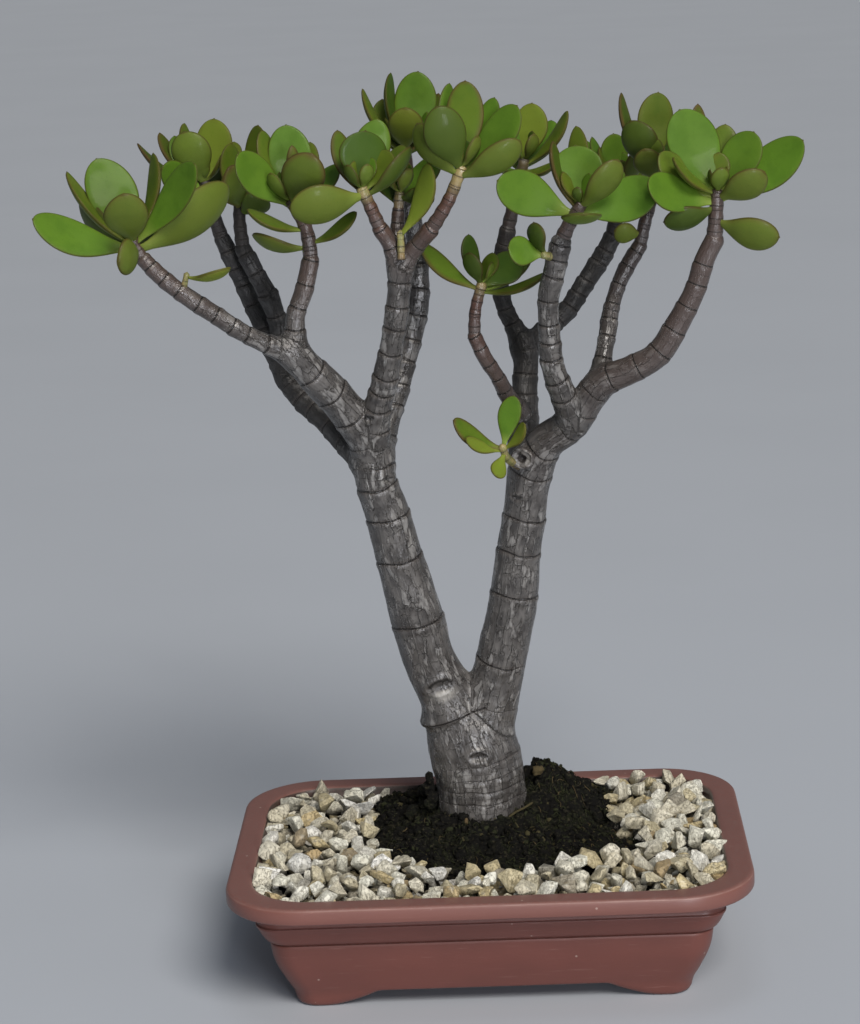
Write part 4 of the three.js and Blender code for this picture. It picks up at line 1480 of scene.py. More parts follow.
PRUNED_KNOT = Limb(((29, 12, 266, 8), (27, 8, 268, 6)), Wood.OLD)
STUB = Limb(((-103, 41, 350, 3), (-100, 36, 356, 1.6)), Wood.OLD, 0.8)


@dataclass(frozen=True)
class Scar:
    """An old scar on the bark: a dark dent with a raised rim, and a pale patch below it.

    Attributes:
        place: its middle.
        size: half-width and half-height.
        tilt: rise of its long way to the right, in degrees.
        pale: strength of the pale patch.
    """

    place: tuple[float, float, float]
    size: tuple[float, float]
    tilt: float = 0.0
    pale: float = 0.0

    def mark(self, points: Array) -> tuple[Array, Array]:
        """Marks the bark.

        Args:
            points: places on the bark.

        Returns:
            Darkness and rise of each, where negative is pale or sunken.
        """
        offset = points - np.array(self.place)
        angle = math.radians(self.tilt)
        across = (offset[:, 0] * math.cos(angle) + offset[:, 2] * math.sin(angle)) / self.size[0]
        upward = (offset[:, 2] * math.cos(angle) - offset[:, 0] * math.sin(angle)) / self.size[1]
        near = np.abs(offset[:, 1]) < 12
        reach = np.hypot(across, upward)
        dark = np.exp(-(((reach - 0.78) / 0.2) ** 2)) * (0.55 + 0.45 * np.sign(upward))
        dark += np.exp(-((reach / 0.42) ** 2))
        light = self.pale * np.exp(-(across**2) - ((upward + 1.2) / 0.9) ** 2)
        rise = 1.0 * np.exp(-(((reach - 1.1) / 0.3) ** 2)) - 1.1 * np.exp(-((reach / 0.6) ** 2))
        return (dark - light) * near, rise * near


SCARS = (
    Scar((-4.4, 5, 107.4), (5.2, 3.0)),
    Scar((-22.5, 10, 146), (7.5, 4.2), 14, 1.0),
    Scar((-52, 0, 296), (3.2, 2.4)),
    Scar((-45, -2, 262), (3.0, 2.2)),
    Scar((22, 4, 248), (3.4, 1.8)),
)


@dataclass
class Tree:
    """Trunk, limbs and branches, grown together into one smooth skin.

    Attributes:
        limbs: all limbs of the tree.
        blend_mm: how softly limbs grow into each other.
        voxel_mm: size of the skin's faces.
        rounds: how often the rough skin is drawn to the limbs.
        collar: height of the slanting collar at an x, that x, and its rise to the right.
        foot_z: height below which the trunk's ring scars are fainter.
        tube_sides: points round a limb's first rough tube.
        search_mm: how far from its limb a point of the skin can lie.
        knot_profile: rise and radius of the pruned end's rings, from its foot to its middle.
        knot_middle: place of the pruned end.
        knot_way: direction in which it looks.
        knot_hub: rise of its sunken middle.
        knot_sides: points round it.
    """

    limbs: Sequence[Limb] = (TRUNK, LEFT_LIMB, RIGHT_LIMB, *LEFT_BRANCHES, *RIGHT_BRANCHES, PRUNED_KNOT, STUB)
    blend_mm: float = 1.5
    voxel_mm: float = 1.15
    rounds: int = 3
    collar: tuple[float, float, float] = (120.8, -33.7, 0.35)
    foot_z: float = 112
    tube_sides: int = 14
    search_mm: float = 34
    knot_profile: Points = (
        (-7, 6.4), (-3, 6), (-0.6, 5.9), (0.3, 5.7), (0.8, 5.2), (0.8, 4.7), (0.3, 4.2), (0.2, 3.2),
        (0.1, 2.5), (-0.5, 2.0), (-1.6, 1.6), (-2.2, 0.7),
    )
    knot_middle: tuple[float, float, float] = (24.8, -2.6, 270.4)
    knot_way: tuple[float, float, float] = (-0.3, -1.0, 0.12)
    knot_hub: float = -2.6
    knot_sides: int = 40

    def rough_skin(self) -> tuple[Array, Array]:
        """Merges the limbs' tubes into one closed skin.

        Returns:
            Its points and quads.
        """
        skin = Skin()
        for limb in self.limbs:
            line = smooth_line(limb.points, 4)
            verts = round_tube(line, self.tube_sides, line[-1, 3] * 0.35)
            skin.add(verts, closed_loft(len(line), self.tube_sides))
        mesh = bpy.data.meshes.new("rough")
        faces = [tuple(row) for block in skin.faces for row in block]
        mesh.from_pydata((np.vstack(skin.verts) * MM).tolist(), [], faces)
        holder = shown("rough", mesh)
        merge = holder.modifiers.new("merge", "REMESH")
        merge.mode = "VOXEL"
        merge.voxel_size = self.voxel_mm * MM
        merged = holder.evaluated_get(bpy.context.evaluated_depsgraph_get()).to_mesh()
        verts = np.empty(len(merged.vertices) * 3)
        merged.vertices.foreach_get("co", verts)
        quads = np.empty(len(merged.loops), np.int64)
        merged.loops.foreach_get("vertex_index", quads)
        bpy.data.objects.remove(holder)
        bpy.data.meshes.remove(mesh)
        return verts.reshape(-1, 3) / MM, quads.reshape(-1, 4)

    def measure(self, limb: Limb, points: Array) -> dict[str, Array]:
        """Where points lie on a limb.

        Args:
            limb: the limb.
            points: the places to measure.

        Returns:
            Distance from its surface, way outwards, straightened place, share of its
            length, distance from the nearest ring scar, and way round it from its
            front in millimetres and as an angle.
        """
        rows = smooth_line(limb.points)
        path, radii = rows[:, :3], rows[:, 3]
        along, across, other = line_frames(path)
        step = np.diff(path, axis=0)
        run = run_of(path)
        lengths = np.diff(run)
        best = np.full(len(points), 1e9)
        chosen = np.zeros(len(points), int)
        share = np.zeros(len(points))
        for i in range(len(step)):
            t = np.clip((points - path[i]) @ step[i] / lengths[i] ** 2, 0, 1)
            near = path[i] + t[:, None] * step[i]
            distance = np.linalg.norm(points - near, axis=1) - (radii[i] + t * (radii[i + 1] - radii[i]))
            better = distance < best
            best[better], chosen[better], share[better] = distance[better], i, t[better]
        t = share[:, None]
        offset = points - (path[chosen] + t * step[chosen])
        first = across[chosen] * (1 - t) + across[chosen + 1] * t
        second = other[chosen] * (1 - t) + other[chosen + 1] * t
        heading = along[chosen] * (1 - t) + along[chosen + 1] * t
        run_at = run[chosen] + share * lengths[chosen] + (offset * heading).sum(1)
        flat = np.stack([(offset * first).sum(1), (offset * second).sum(1), run_at], 1)
        scars = self.scars(limb, path, run, radii)
        waved = run_at + 1.1 * smooth_noise(flat * (1, 1, 0.2), 9, 5)
        ring = waved - scars[np.abs(waved[:, None] - scars).argmin(1)]
        turn = np.arctan2(flat[:, 0], -flat[:, 1])
        girth = turn * np.hypot(flat[:, 0], flat[:, 1])
        return {
            "gap": best, "out": unit(offset), "flat": flat, "share": run_at / run[-1], "ring": ring,
            "girth": girth, "turn": turn,
        }

    @staticmethod
    def scars(limb: Limb, path: Array, run: Array, radii: Array) -> Array:
        """Places of the ring scars.

        Args:
            limb: the limb.
            path: points of its middle line.
            run: their distances along it.
            radii: its radii there.

        Returns:
            Distances along the limb.
        """
        if limb.rings:
            return np.interp(limb.rings, path[:, 2], run)
        random = np.random.default_rng(int(abs(path[0, 0] * 7 + path[-1, 2])))
        places, at = [], 5.0
        while at < run[-1] + 4:
            places.append(at)
            at += (4.5 + float(np.interp(at, run, radii)) * 1.1) * random.uniform(0.75, 1.3)
        return np.array(places)

    def add_knot(self, skin: Skin) -> None:
        """Adds the sawn end of a pruned branch, with a sunken dark middle.

        Args:
            skin: the skin that gets it.
        """
        sides = self.knot_sides
        middle, way = np.array(self.knot_middle), unit(np.array(self.knot_way))
        side = unit(np.cross(way, [0, 0, 1.0]))
        upper = np.cross(side, way)
        angles = np.arange(sides) / sides * math.tau
        uneven = 1 + 0.05 * np.sin(2 * angles + 1) + 0.03 * np.sin(5 * angles)
        circle = np.cos(angles)[:, None] * side + np.sin(angles)[:, None] * upper
        rings = []
        for rise, radius in self.knot_profile:
            drop = 0.35 * np.sin(angles * 3 + 2) * (radius < 5)
            rings.append(middle + circle * (radius * uneven)[:, None] + way * (rise + drop[:, None]))
        verts = np.vstack([*rings, middle + way * self.knot_hub])
        hub = len(verts) - 1
        faces = [loft_faces(len(rings), sides), fan(hub - sides + np.arange(sides), hub)]
        profile = np.array([*self.knot_profile, (self.knot_hub, 0)])
        rises, radii = np.repeat(profile, sides, axis=0)[: len(verts)].T
        angle = np.append(np.tile(angles, len(rings)), 0)
        across, upward = radii * np.cos(angle), radii * np.sin(angle)
        # The sawn face is pale inside its callus, with a hole to one side of its middle.
        hole = np.hypot(across - 1.2, upward - 2.6) < 1.1
        pale = (rises > -0.7) & (radii < 4.6)
        scar = np.where(radii < 2.1, 0.7, np.where(pale, np.where(hole, 0.9, -0.35), 0.1))
        blank = np.zeros(len(verts))
        skin.add(
            verts,
            faces,
            along=np.stack([across, upward, rises * 3 + 900], 1),
            plate=(0, 0, 0),
            marks=np.stack([blank + 9, blank, scar], 1),
            kind=(0.7, 0, 0),
        )

    def build(self, bark: Material) -> None:
        """Builds the tree.

        Args:
            bark: its finish.
        """
        verts, quads = self.rough_skin()
        total = len(verts)
        for _ in range(self.rounds):
            gaps = np.full((len(self.limbs), total), 1e3)
            found: list[tuple[Array, dict[str, Array]]] = []
            for i, limb in enumerate(self.limbs):
                rows = np.array(limb.points)
                low, high = rows[:, :3].min(0) - self.search_mm, rows[:, :3].max(0) + self.search_mm
                close = np.flatnonzero(((verts > low) & (verts < high)).all(1))
                seen = self.measure(limb, verts[close])
                gaps[i, close] = seen["gap"]
                found.append((close, seen))
            lowest = gaps.min(0)
            weights = np.exp(-(gaps - lowest) / self.blend_mm)
            soft = lowest - self.blend_mm * np.log(weights.sum(0))
            weights /= weights.sum(0)
            out = np.zeros((total, 3))
            for i, (close, seen) in enumerate(found):
                out[close] += weights[i, close][:, None] * seen["out"]
            verts = verts - unit(out) * soft[:, None] * 0.9
        owner = gaps.argmin(0)
        flat, ring = np.zeros((total, 3)), np.full(total, 9.0)
        plate = np.zeros((total, 3))
        age, rear = np.zeros(total), np.zeros(total)
        for i, (close, seen) in enumerate(found):
            limb = self.limbs[i]
            mine = owner[close] == i
            spot = close[mine]
            # Each limb has its own stretch of the patterns.
            flat[spot] = seen["flat"][mine] + (0, 0, i * 137.0)
            ring[spot] = seen["ring"][mine]
            # Cracks fade out at the back, where the way round the limb jumps.
            front = np.clip((2.8 - np.abs(seen["turn"][mine])) / 0.3, 0, 1)
            plate[spot] = np.stack([seen["flat"][mine, 2], seen["girth"][mine] + i * 61.0, front], 1)
            start, end = limb.kind.value
            age[close] += weights[i, close] * np.interp(seen["share"], [0.1, 1], [start, end])
            rear[close] += weights[i, close] * limb.rear
        # Ring scars fade out where limbs grow together.
        lone = np.clip((np.partition(gaps, 1, axis=0)[1] - lowest) / 3.0, 0, 1)
        # A slanting collar, where the left limb overhangs the trunk.
        height, at_x, slope = self.collar
        above = verts[:, 2] - (height + (verts[:, 0] - at_x) * slope)
        lefty = np.clip((5 - verts[:, 0]) / 36, 0, 1) * (np.abs(above) < 30) * (verts[:, 1] < 46)
        collar = np.where(above > 0, np.exp(-((above / 7) ** 2)), np.exp(-((above / 1.3) ** 2))) * lefty
        slant = (lefty > 0.12) & (np.abs(above) < 5)
        ring = np.where(slant, above, ring)
        lone = np.where(slant, 1.0, np.where(np.abs(above) < 14, lone * 0.3, lone))
        foot = np.clip((self.foot_z - verts[:, 2]) / 6, 0, 1)
        lone = lone * (1 - foot * (0.45 + 0.5 * smooth_noise(verts, 14, 12)))
        bulk = np.interp(age, [0.3, 0.8], [1.5, 1.0])
        swell = 0.55 * np.exp(-(((ring + 1.6) / 2.2) ** 2)) - 0.6 * np.exp(-((ring * bulk / 0.8) ** 2))
        rough = 0.5 * smooth_noise(verts, 13, 7) + 0.35 * smooth_noise(flat * (1, 1, 0.35), 4, 8)
        rough += 0.2 * smooth_noise(flat * (1, 1, 0.5), 2.2, 9)
        thick = np.clip(age, 0.3, 1)
        scarred = np.zeros(total)
        lift = (swell * lone + rough) * thick + 3.0 * collar
        for scar in SCARS:
            dark, rise = scar.mark(verts)
            scarred += dark
            lift += rise
        verts = verts + unit(out) * lift[:, None]
        skin = Skin()
        skin.add(
            verts,
            [quads],
            along=flat,
            plate=plate,
            marks=np.stack([ring * bulk, lone, scarred], 1),
            kind=np.stack([age, rear, np.zeros(total)], 1),
        )
        self.add_knot(skin)
        skin.piece("tree_bark", [bark], "bark", ["trunk_and_left_limb", "right_limb"])
        LOG.info("tree: %d limbs, %d faces", len(self.limbs), len(quads))


# ---- leaves
class Tone(Enum):
    """Looks of a leaf as its olive share, darkness and blush at the rim."""

    BRIGHT = (0.05, 0.0, 0.1)
    YOUNG = (0.3, -0.7, 0.3)
    OLIVE = (0.8, 0.08, 0.3)
    # DARK stands partly for old leaves and partly for painted shade on leaves that lie in shade.
    DARK = (0.25, 0.55, 0.1)
    RED = (0.55, 0.1, 0.9)
    PURPLE = (0.9, 0.4, 1.0)


TONE_OF = {tone.name[0]: tone for tone in Tone}


@dataclass(frozen=True)
class Shoot:
    """A leafy shoot.

    Attributes:
        node: the CAD node that it stands for.
        radius: of its stem at the wood and at the heart.
        age: of the stem's bark at the heart; 0 is green.
        rear: how much painted shade darkens the stem, from 0 to 1.
        back: number of leaves that the growth rule adds on the far side.
        stem: points from the wood to the heart.
        tones: first letter of each leaf's tone.
        leaves: x, y and z of each tip from the heart, turn of the upper face to the
            front in degrees, width and distance of the root below the heart.
    """

    node: str
    radius: tuple[float, float]
    age: float
    rear: float
    back: int
    stem: Points
    tones: str
    leaves: Points


SHOOTS = (
    Shoot("rosette_a", (3.4, 3), 0.26, 0.0, 1,
          ((-158, -36, 386), (-161, -36, 391), (-163, -36, 397)), "BBODOOBOO", (
        (-46, -14, 13, 50, 21, 4), (-18, 22, 37, 30, 25, 2), (-32, 14, 32, -10, 15, 3),
        (-29, 30, 15, -80, 17, 4), (1, -26, 25, 5, 22, 0), (11, 18, 39, -30, 14, 0),
        (35, -14, 36.5, 62, 21, 1), (47, 20, 21, -62, 27, 5), (-5, -22, -8.5, -90, 18, 5))),
    Shoot("rosette_b", (4, 3.2), 0.3, 0.8, 2, ((-128, 57, 381), (-132, 55, 396), (-135, 50, 413)), "PPOBYB", (
        (-32, -10, 22, 20, 12, 3), (-24, 20, 24, -10, 13, 2), (-11, 24, 28, -40, 14, 2),
        (-8, -8, 27, -40, 21, 0), (6, 12, 31, 10, 21, 0), (-19, -20, 10, 90, 16, 4))),
    Shoot("rosette_c", (4, 3), 0.3, 0.0, 2,
          ((-77, -14, 379), (-78, -13, 392), (-81, -12, 400), (-86, -12, 409)), "BOBROROOOO", (
        (-24, -10, 25, 70, 20, 2), (-13, 14, 34, -5, 16, 2), (-1, 16, 36, 0, 22, 0), (3, -6, 28, 10, 8, 0),
        (10, 24, 26, -10, 13, 3), (14, -20, 25, -40, 22, 1), (-21, -6, -3, 15, 15, 15),
        (-20, 4, -17, -35, 15, 24), (33, -2, -7, 20, 14, 22), (30, 8, 1, 5, 14, 12))),
    Shoot("rosette_d", (3.7, 3), 0.04, 0.0, 1,
          ((-41, -26, 395), (-45, -28, 406), (-49, -30, 416)), "DBODRO", (
        (3, 8, 27, 35, 25, 1), (9, 22, 31, 25, 19, 2), (14, 8, 17, 20, 17, 0), (25, 2, 19, -30, 16, 3),
        (-12, 26, 26, 0, 13, 3), (-35, -12, -7, -70, 22, 2))),
    Shoot("rosette_e", (4, 3), 0.2, 0.35, 2, ((-28, 34, 398), (-28, 33, 413), (-29, 32, 429)), "ODBYP", (
        (-20, -4, 30, 20, 13, 3), (-6, 14, 36, -50, 13, 1), (8, 16, 36, 25, 22, 0), (2, -16, 21, -5, 18, 0),
        (18, 20, 24, 5, 13, 3))),
    Shoot("rosette_f", (3.9, 2.9), 0.0, 0.0, 1,
          ((-16, -30, 394), (-11, -32, 401), (-5, -33, 411), (1, -34, 425)), "RDOBBOB", (
        (3, 16, 40, 5, 19, 0), (-11, -14, 31, -45, 21, 0), (-21, -2, 22, -40, 20, 3), (17, 18, 31, 20, 14, 1),
        (28, 4, 28, 45, 20, 2), (29, -8, 12, -55, 17, 4), (-5, 28, 38, -35, 13, 2))),
    Shoot("rosette_g", (3.8, 3), 0.08, 0.6, 2, ((22, 44, 382), (27, 44, 400), (32, 44, 418)), "YOBO", (
        (5, 8, 28, 15, 19, 0), (23, -2, 24, 20, 14, 2), (-13, -16, -1, 25, 13, 4), (15, -14, -2, 20, 13, 4))),
    Shoot("rosette_h", (4.2, 3), 0.36, 0.0, 1, ((48, -29, 385), (53, -31, 395), (59, -32, 404)), "BBPOOBB", (
        (-41, -8, 14, 80, 22, 5), (-2, 14, 27, 5, 25, 0), (-13, 10, 30, -20, 15, 2), (-1, 28, 35, -30, 13, 2),
        (18, -10, 22, -35, 17, 1), (38, 2, 7, 65, 23, 5), (0, -28, -1, 0, 20, 4))),
    Shoot("rosette_i", (4.4, 3.2), 0.34, 0.0, 1,
          ((124, -24, 382), (125, -25, 394), (126, -26, 407)), "BOOBDPOBBOO", (
        (-17, 12, 39, 45, 26, 0), (-28, 2, 19, 45, 18, 2), (-22, -10, 18, 30, 14, 0),
        (-35, -17, 7, 65, 20, 4), (-27, -4, -14, -50, 17, 6), (-7, 26, 40, -20, 12, 2),
        (6, 20, 30, 10, 17, 1), (19, 8, 27, 40, 21, 0), (42, -2, 23, 55, 24, 3), (22, -14, 10, -50, 18, 2),
        (29, -10, -23, -65, 19, 13))),
    Shoot("rosette_j", (3.6, 2.8), 0.1, 0.35, 1,
          ((89, 16, 375), (92, 16, 387), (96, 16, 400), (98, 16, 416)), "OPDOO", (
        (3, 12, 35, 30, 19, 0), (-16, 6, 36, 5, 12, 2), (-12, -4, 23, -45, 20, 2), (-6, -16, 10, -10, 15, 6),
        (-22, -6, -32, -65, 12, 34))),
    Shoot("rosette_k", (3.4, 2.8), 0.08, 0.0, 1, ((3, 4, 334), (4, 4, 347), (8, 4, 361)), "RDDO", (
        (-30, -8, 22, 45, 14, 2), (-6, 14, 23, -15, 11, 0), (20, 8, 12, 50, 18, 0), (33, -6, 5, 10, 13, 3))),
    Shoot("rosette_l", (2.6, 2), 0.0, 0.0, 0, ((23, 3, 266), (17.5, -4, 271), (15, -10, 279)), "RYBYY", (
        (-24, -8, 16, 45, 14, 1), (-18, -14, 7, 50, 9, 2), (7, 4, 25, 55, 12, 0), (12, -6, 12, 50, 11, 1),
        (-3, -14, -13, 35, 9, 3))),
    Shoot("rosette_m", (4, 3), 0.3, 0.8, 1, ((-116, 42, 378), (-117, 43, 390), (-117, 44, 402)), "RDOO", (
        (-2, -22, 21, -50, 18, 1), (14, -6, 4, -40, 18, 4), (12, 4, 39, 30, 16, 0), (-3, 8, 30, -30, 16, 0))),
    Shoot("rosette_n", (3, 2.6), 0.1, 0.3, 2, ((-32, -12, 402), (-31, -12, 411)), "D", (
        (17, -10, 0, -50, 14, 1),)),
    Shoot("rosette_o", (4.3, 3), 0.3, 0.8, 2, ((77, 63, 374), (80, 63, 388), (82, 62, 403)), "BBO", (
        (-3, 4, 24, 20, 15, 0), (-14, 10, 22, -5, 12, 2), (10, -10, 18, 0, 15, 2))),
    Shoot("leaf_pair", (2.4, 2), 0.0, 0.0, 0, ((46, -28, 377), (39, -35, 380)), "BD", (
        (-17, -4, 5, 60, 16, 0), (-4, 1, 16, -30, 15, 0))),
    Shoot("leaf_left", (1.7, 1.5), 0.0, 0.0, 0, ((-140, -35, 368), (-137, -38, 378)), "Y", (
        (22, -4, 3, -20, 13, 0),)),
    Shoot("leaf_front", (2, 1.8), 0.0, 0.0, 0, ((-31, -30, 381), (-31, -29, 388), (-31, -28, 393)), "Y", (
        (16, -6, 34, 60, 15, 0),)),
)


@dataclass
class Foliage:
    """All leafy shoots of the tree.

    Attributes:
        thickness: greatest thickness of a leaf.
        bow: sag of a leaf's midline, as a share of its length.
        root_offset: from a stem's axis to where a leaf's root starts.
        root_depth: least distance of a leaf's root below the tip of its stem.
        widest: where a leaf is widest, as a share of its length.
        lengthwise: rings of points along a leaf.
        around: points in such a ring.
        stem_sides: points round a stem.
        joint_pitch: distance between the joints of a stem.
        state: state of the growth rule's generator.
    """

    thickness: float = 4.6
    bow: float = 0.1
    root_offset: float = 1.4
    root_depth: float = 2.0
    widest: float = 0.62
    lengthwise: int = 26
    around: int = 28
    stem_sides: int = 20
    joint_pitch: float = 6.5
    state: int = 8

    def draw(self) -> float:
        """The next number from 0 to 1 of the growth rule's own generator."""
        self.state = (self.state * 1664525 + 1013904223) % 4294967296
        return self.state / 4294967296

    def outline(self, u: Array) -> Array:
        """The outline of a leaf.

        Args:
            u: places along it, from 0 to 1.

        Returns:
            Half-widths as a share of the widest.
        """
        rise = np.clip((u - 0.06) / (self.widest - 0.06), 0, 1)
        lower = 0.2 + 0.8 * np.sin(rise * math.pi / 2) ** 1.3
        upper = (1 - np.clip((u - self.widest) / (1 - self.widest), 0, 1) ** 2.1) ** 0.55
        return np.where(u < self.widest, lower, upper)

    def leaf(
        self, root: Array, row: Sequence[float], heart: Array, tone: Tone, chance: Random
    ) -> tuple[Array, list[Array], dict[str, Array]]:
        """One thick leaf.

        Args:
            root: where it leaves the stem.
            row: its row of the shoot's table.
            heart: the shoot's heart.
            tone: its look.
            chance: the generator for small differences between leaves.

        Returns:
            Its points, faces, and the values that the finishes read.
        """
        tip = heart + np.array(row[:3], float)
        turn, width = math.radians(row[3]), float(row[4])
        length = float(np.linalg.norm(tip - root))
        along = (tip - root) / length
        level = unit(np.array([0, 0, 1.0]) - along * along[2])
        front = np.cross(along, level)
        front = -front if front[1] > 0 else front
        face = level * math.cos(turn) + front * math.sin(turn)
        side = np.cross(face, along)
        half = min(self.thickness, 1 + width * 0.2) / 2
        u = np.sin(np.linspace(0, 1, self.lengthwise) * math.pi / 2) ** 1.15
        u[-1] = 0.9985
        wide = np.maximum(self.outline(u) * width / 2, np.where(u < 0.5, 1.2, 0.05))
        thin_tip = 0.22 + 1.5 * np.sqrt(np.clip(1 - u, 0, 1))
        thick = half * np.minimum(1, 0.45 + 1.4 * u) * np.minimum(1, thin_tip)
        angles = np.arange(self.around) / self.around * math.tau
        across = np.sign(np.cos(angles)) * np.abs(np.cos(angles)) ** 0.9
        over = np.sin(angles)
        over = np.where(over > 0, over * 0.75, over * 1.1)
        cup = chance.uniform(0.02, 0.09) * width
        sway = chance.uniform(-0.03, 0.03) * length
        twist = chance.uniform(-0.16, 0.16)
        rings = []
        for share, w, t in zip(u, wide, thick):
            centre = root + along * share * length - face * self.bow * length * 4 * share * (1 - share)
            centre = centre + side * sway * math.sin(share * math.pi)
            turned = twist * (share - 0.4)
            left = side * math.cos(turned) + face * math.sin(turned)
            top = face * math.cos(turned) - side * math.sin(turned)
            lift = over * t + cup * across**2 * (w / (width / 2)) ** 2
            rings.append(centre + across[:, None] * w * left + lift[:, None] * top)
        point = tip + along * 0.5 + face * cup * 0.1
        verts = np.vstack([*rings, root, point])
        share_at = np.append(np.repeat(u, self.around), [0, 1])
        to_side = (1 - np.abs(np.tile(across, self.lengthwise))) * np.repeat(wide, self.around)
        to_tip = (1 - np.repeat(u, self.around)) * length
        rim_at = np.append(np.minimum(to_side, to_tip), [3, 0])
        facing = np.append(np.tile(np.sin(angles), self.lengthwise), [0, 0])
        look = np.array(tone.value) + chance.uniform(-0.08, 0.12, 3)
        values = {"spot": np.stack([share_at, rim_at, facing], 1), "look": look}
        return verts, closed_loft(self.lengthwise, self.around), values

    @staticmethod
    def along_stem(stem: Array, drop: float) -> Array:
        """Finds a point of a stem.

        Args:
            stem: its points.
            drop: distance below its heart.

        Returns:
            The point.
        """
        left = drop
        for i in range(len(stem) - 1, 0, -1):
            span = float(np.linalg.norm(stem[i] - stem[i - 1]))
            if left <= span:
                return stem[i] + (stem[i - 1] - stem[i]) * left / span
            left -= span
        return stem[0]

    @staticmethod
    def reach(azimuth: float, rise: float, length: float) -> list[float]:
        """The tip of a leaf of a length that points at an azimuth and rises by an angle."""
        level = math.cos(rise) * length
        return [math.cos(azimuth) * level, math.sin(azimuth) * level, math.sin(rise) * length]

    def back_rows(self, count: int) -> list[list[float]]:
        """Leaves of the far side: crossed pairs that open and shorten towards the top.

        Args:
            count: number of leaves.

        Returns:
            Their rows, as in a shoot's table.
        """
        rows = []
        for i in range(count):
            azimuth = math.radians(55 + 70 * (i % 2) + 20 * (self.draw() - 0.5))
            rise = math.radians(20 + 12 * i + 10 * self.draw())
            length = 34 - 3 * i + 4 * self.draw()
            rows.append([*self.reach(azimuth, rise, length), 0, length * 0.5, 3 + 2 * i])
        return rows

    def young_rows(self, chance: Random) -> list[list[float]]:
        """Two crossed pairs of young leaves that stand round the heart.

        Args:
            chance: the generator to draw from.

        Returns:
            Their rows, as in a shoot's table.
        """
        rows = []
        first = chance.uniform(0, math.tau)
        for i in range(4):
            pair = i // 2
            azimuth = first + math.pi * (i % 2) + math.pi / 2 * pair + chance.uniform(-0.25, 0.25)
            rise = math.radians(chance.uniform(48, 62) + 10 * pair)
            length = chance.uniform(15, 21) - 5 * pair
            rows.append([*self.reach(azimuth, rise, length), 0, length * 0.58, -1.2])
        return rows

    def stem(self, shoot: Shoot, skin: Skin) -> Array:
        """Adds the stem of a shoot.

        Args:
            shoot: the shoot.
            skin: the skin that gets it.

        Returns:
            The points that the shoot gives for it.
        """
        points = np.array(shoot.stem, float)
        shares = np.linspace(0, 1, len(points))
        radii = shoot.radius[0] * (1 - shares) + shoot.radius[1] * shares
        start = points[0] - unit(points[1] - points[0]) * 1.5
        line = smooth_line(np.column_stack([np.vstack([start, points[1:]]), radii * 0.97]), 6)
        run = run_of(line[:, :3])
        sides = self.stem_sides
        verts = round_tube(line, sides, 1.5, 1 + 0.06 * np.cos(run * math.tau / self.joint_pitch))
        angles = np.arange(sides) / sides * math.tau
        circle = np.tile(np.stack([np.cos(angles), np.sin(angles)], 1) * 3, (len(line), 1))
        reach = np.append(np.repeat(run, sides), [0, run[-1]])
        share = reach / run[-1]
        joint = ((reach + 3.2) % self.joint_pitch - self.joint_pitch / 2) * 1.7
        base_age = 0.42 if shoot.radius[0] > 3 else 0.14
        blank = np.zeros(len(verts))
        skin.add(
            verts,
            closed_loft(len(line), sides),
            mark=1,
            along=np.column_stack([np.vstack([circle, np.zeros((2, 2))]), reach + 40 * len(shoot.node)]),
            plate=(0, 0, 0),
            marks=np.stack([joint, blank + 0.6, blank], 1),
            kind=np.stack([base_age * (1 - share) + shoot.age * share, blank + shoot.rear, blank], 1),
            spot=(0, 0, 0),
            look=(0, 0, 0),
        )
        return points

    def build(self, leaf: Material, bark: Material) -> None:
        """Builds every shoot.

        Args:
            leaf: the leaves' finish.
            bark: the stems' finish.
        """
        chance = np.random.default_rng(SEED + 2)
        spare = (Tone.OLIVE, Tone.BRIGHT, Tone.DARK)
        no_bark = dict.fromkeys(("along", "plate", "marks", "kind"), (0, 0, 0))
        for shoot in SHOOTS:
            skin = Skin()
            points = self.stem(shoot, skin)
            advanced = points.copy()
            advanced[0] += unit(points[1] - points[0]) * 0.3
            heart = advanced[-1]
            rows = [*shoot.leaves, *self.back_rows(shoot.back)]
            if shoot.node.startswith("rosette") and shoot.back:
                rows += self.young_rows(chance)
            for i, row in enumerate(rows):
                axis = self.along_stem(advanced, row[5] + self.root_depth)
                tip = heart + np.array(row[:3], float)
                root = axis + unit(tip - axis) * self.root_offset
                tone = TONE_OF[shoot.tones[i]] if i < len(shoot.tones) else spare[i % 3]
                verts, faces, values = self.leaf(root, row, heart, tone, chance)
                skin.add(verts, faces, **values, **no_bark)
            skin.piece(f"{shoot.node}_leaves", [leaf, bark], "leaf", [shoot.node])
            LOG.info("%s: %d leaves", shoot.node, len(rows))


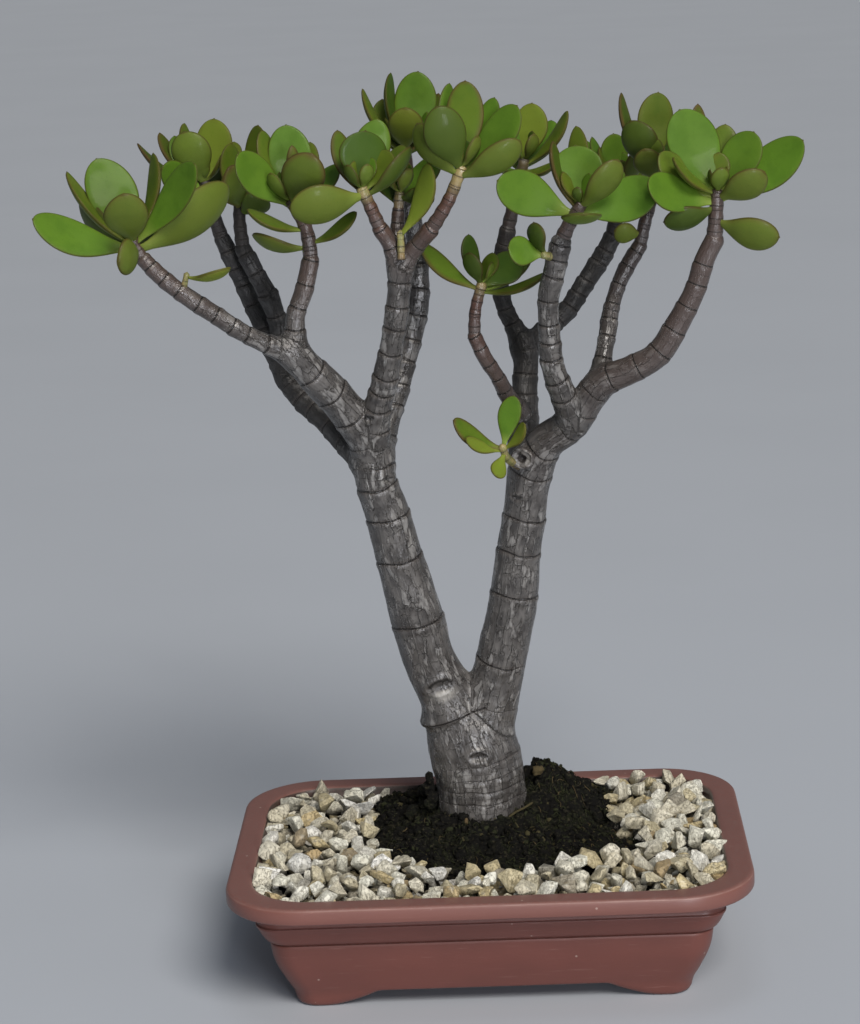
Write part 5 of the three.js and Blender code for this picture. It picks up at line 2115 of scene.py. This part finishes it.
# ---- studio
@dataclass
class Studio:
    """A plain pale floor, soft lights and the camera.

    Attributes:
        aim: the point that the camera looks at, in pot millimetres.
        distance: of the camera from that point.
        elevation: of the camera above the horizon, in degrees.
        yaw: of the camera round the pot, in degrees.
        roll: of the camera, in degrees.
        focal_px: focal length in pixels.
        image_height: height of the image in the same pixels.
        sensor_mm: width of the camera's sensor.
        floor_half: half the floor's width, in metres.
        light_aim: height that the panels look at, in metres.
        key: power, colour and direction of the key light, seen from the tree.
        key_spread: angle that softens its shadows, in degrees.
        panels: name, place, size, power and colour of each soft panel.
        glow: colour and power of the light from all around.
    """

    aim: tuple[float, float, float] = (-23.606, -0.802, 243.68)
    distance: float = 1461.0
    elevation: float = 13.614
    yaw: float = 1.946
    roll: float = -2.64
    focal_px: float = 2830.2
    image_height: float = 1024
    sensor_mm: float = 36
    floor_half: float = 30.0
    light_aim: float = 0.22
    key: tuple[float, str, Sequence[float]] = (2.75, "fff9f2", (0.42, -0.92, 0.98))
    key_spread: float = 26
    panels: tuple[tuple[Any, ...], ...] = (
        ("window", (0.8, -2.3, 0.3), (0.45, 1.1), 34, "f6f8ff"),
        ("top", (0.05, -0.4, 2.4), (0.7, 0.7), 4, "f4f6ff"),
    )
    glow: tuple[str, float] = ("c9d0da", 0.22)

    def camera(self) -> None:
        """Sets up the camera."""
        a, e, r = (math.radians(v) for v in (self.yaw, self.elevation, self.roll))
        back = Vector((math.sin(a) * math.cos(e), -math.cos(a) * math.cos(e), math.sin(e)))
        right = (-back).cross(Vector((0, 0, 1))).normalized()
        up = right.cross(-back)
        level = right * math.cos(r) + up * math.sin(r)
        upright = up * math.cos(r) - right * math.sin(r)
        place = Vector(to_frame(np.array(self.aim)).tolist()) + back * self.distance * MM
        data = bpy.data.cameras.new("camera")
        data.sensor_width = self.sensor_mm
        data.lens = self.sensor_mm * self.focal_px / self.image_height
        camera = shown("camera", data)
        pose = Matrix((level, upright, back)).transposed().to_4x4()
        pose.translation = place
        camera.matrix_world = pose
        bpy.context.scene.camera = camera

    @staticmethod
    def lamp(name: str, kind: str, power: float, tint: str, way: Sequence[float]) -> Object:
        """Adds a lamp.

        Args:
            name: of the lamp.
            kind: of its light.
            power: of its light.
            tint: its colour as sRGB hex.
            way: direction in which the lamp stands, seen from what it lights.

        Returns:
            The lamp.
        """
        data = bpy.data.lights.new(name, kind)
        data.energy = power
        data.color = hex_linear(tint)[:3]
        lamp = shown(name, data)
        lamp.rotation_euler = Vector(way).to_track_quat("Z", "Y").to_euler()
        return lamp

    def panel(
        self, name: str, place: Sequence[float], size: tuple[float, float], power: float, tint: str
    ) -> None:
        """Adds a soft rectangular light that looks at the tree.

        Args:
            name: of the light.
            place: its middle, in metres.
            size: its width and height, in metres.
            power: its power.
            tint: its colour as sRGB hex.
        """
        spot = Vector(place)
        lamp = self.lamp(name, "AREA", power, tint, spot - Vector((0, 0, self.light_aim)))
        lamp.location = spot
        lamp.data.shape = "RECTANGLE"
        lamp.data.size, lamp.data.size_y = size

    def build(self, paint: Material) -> None:
        """Sets up floor, lights, world and camera.

        Args:
            paint: the floor's finish.
        """
        mesh = bpy.data.meshes.new("floor")
        half = self.floor_half
        corners = [(-half, -half, 0), (half, -half, 0), (half, half, 0), (-half, half, 0)]
        mesh.from_pydata(corners, [], [(0, 1, 2, 3)])
        mesh.materials.append(paint)
        shown("floor", mesh)
        key = self.lamp("key", "SUN", *self.key)
        key.data.angle = math.radians(self.key_spread)
        for panel in self.panels:
            self.panel(*panel)
        world = bpy.data.worlds.new("studio")
        bpy.context.scene.world = world
        world.use_nodes = True
        tint, power = self.glow
        backdrop = world.node_tree.nodes["Background"]
        backdrop.inputs[0].default_value = hex_linear(tint)
        backdrop.inputs[1].default_value = power
        bpy.context.scene.view_settings.view_transform = "Standard"
        self.camera()
        LOG.info("studio: floor, three lights and camera")


def main() -> None:
    """Builds every sub-assembly in order."""
    logging.basicConfig(level=logging.INFO, format="%(name)s: %(message)s")
    bark = JadeBark().build()
    peat = MossyPeat().build()
    pot = Pot()
    mound = Mound(pot)
    pot.build(MouldedPolypropylene().build())
    mound.build(peat)
    Gravel(pot, mound).build(CrushedMarble().build())
    Tree().build(bark)
    Foliage().build(WaxyLeaf().build(), bark)
    Studio().build(PaintedFloor().build())


if __name__ == "__main__":
    main()
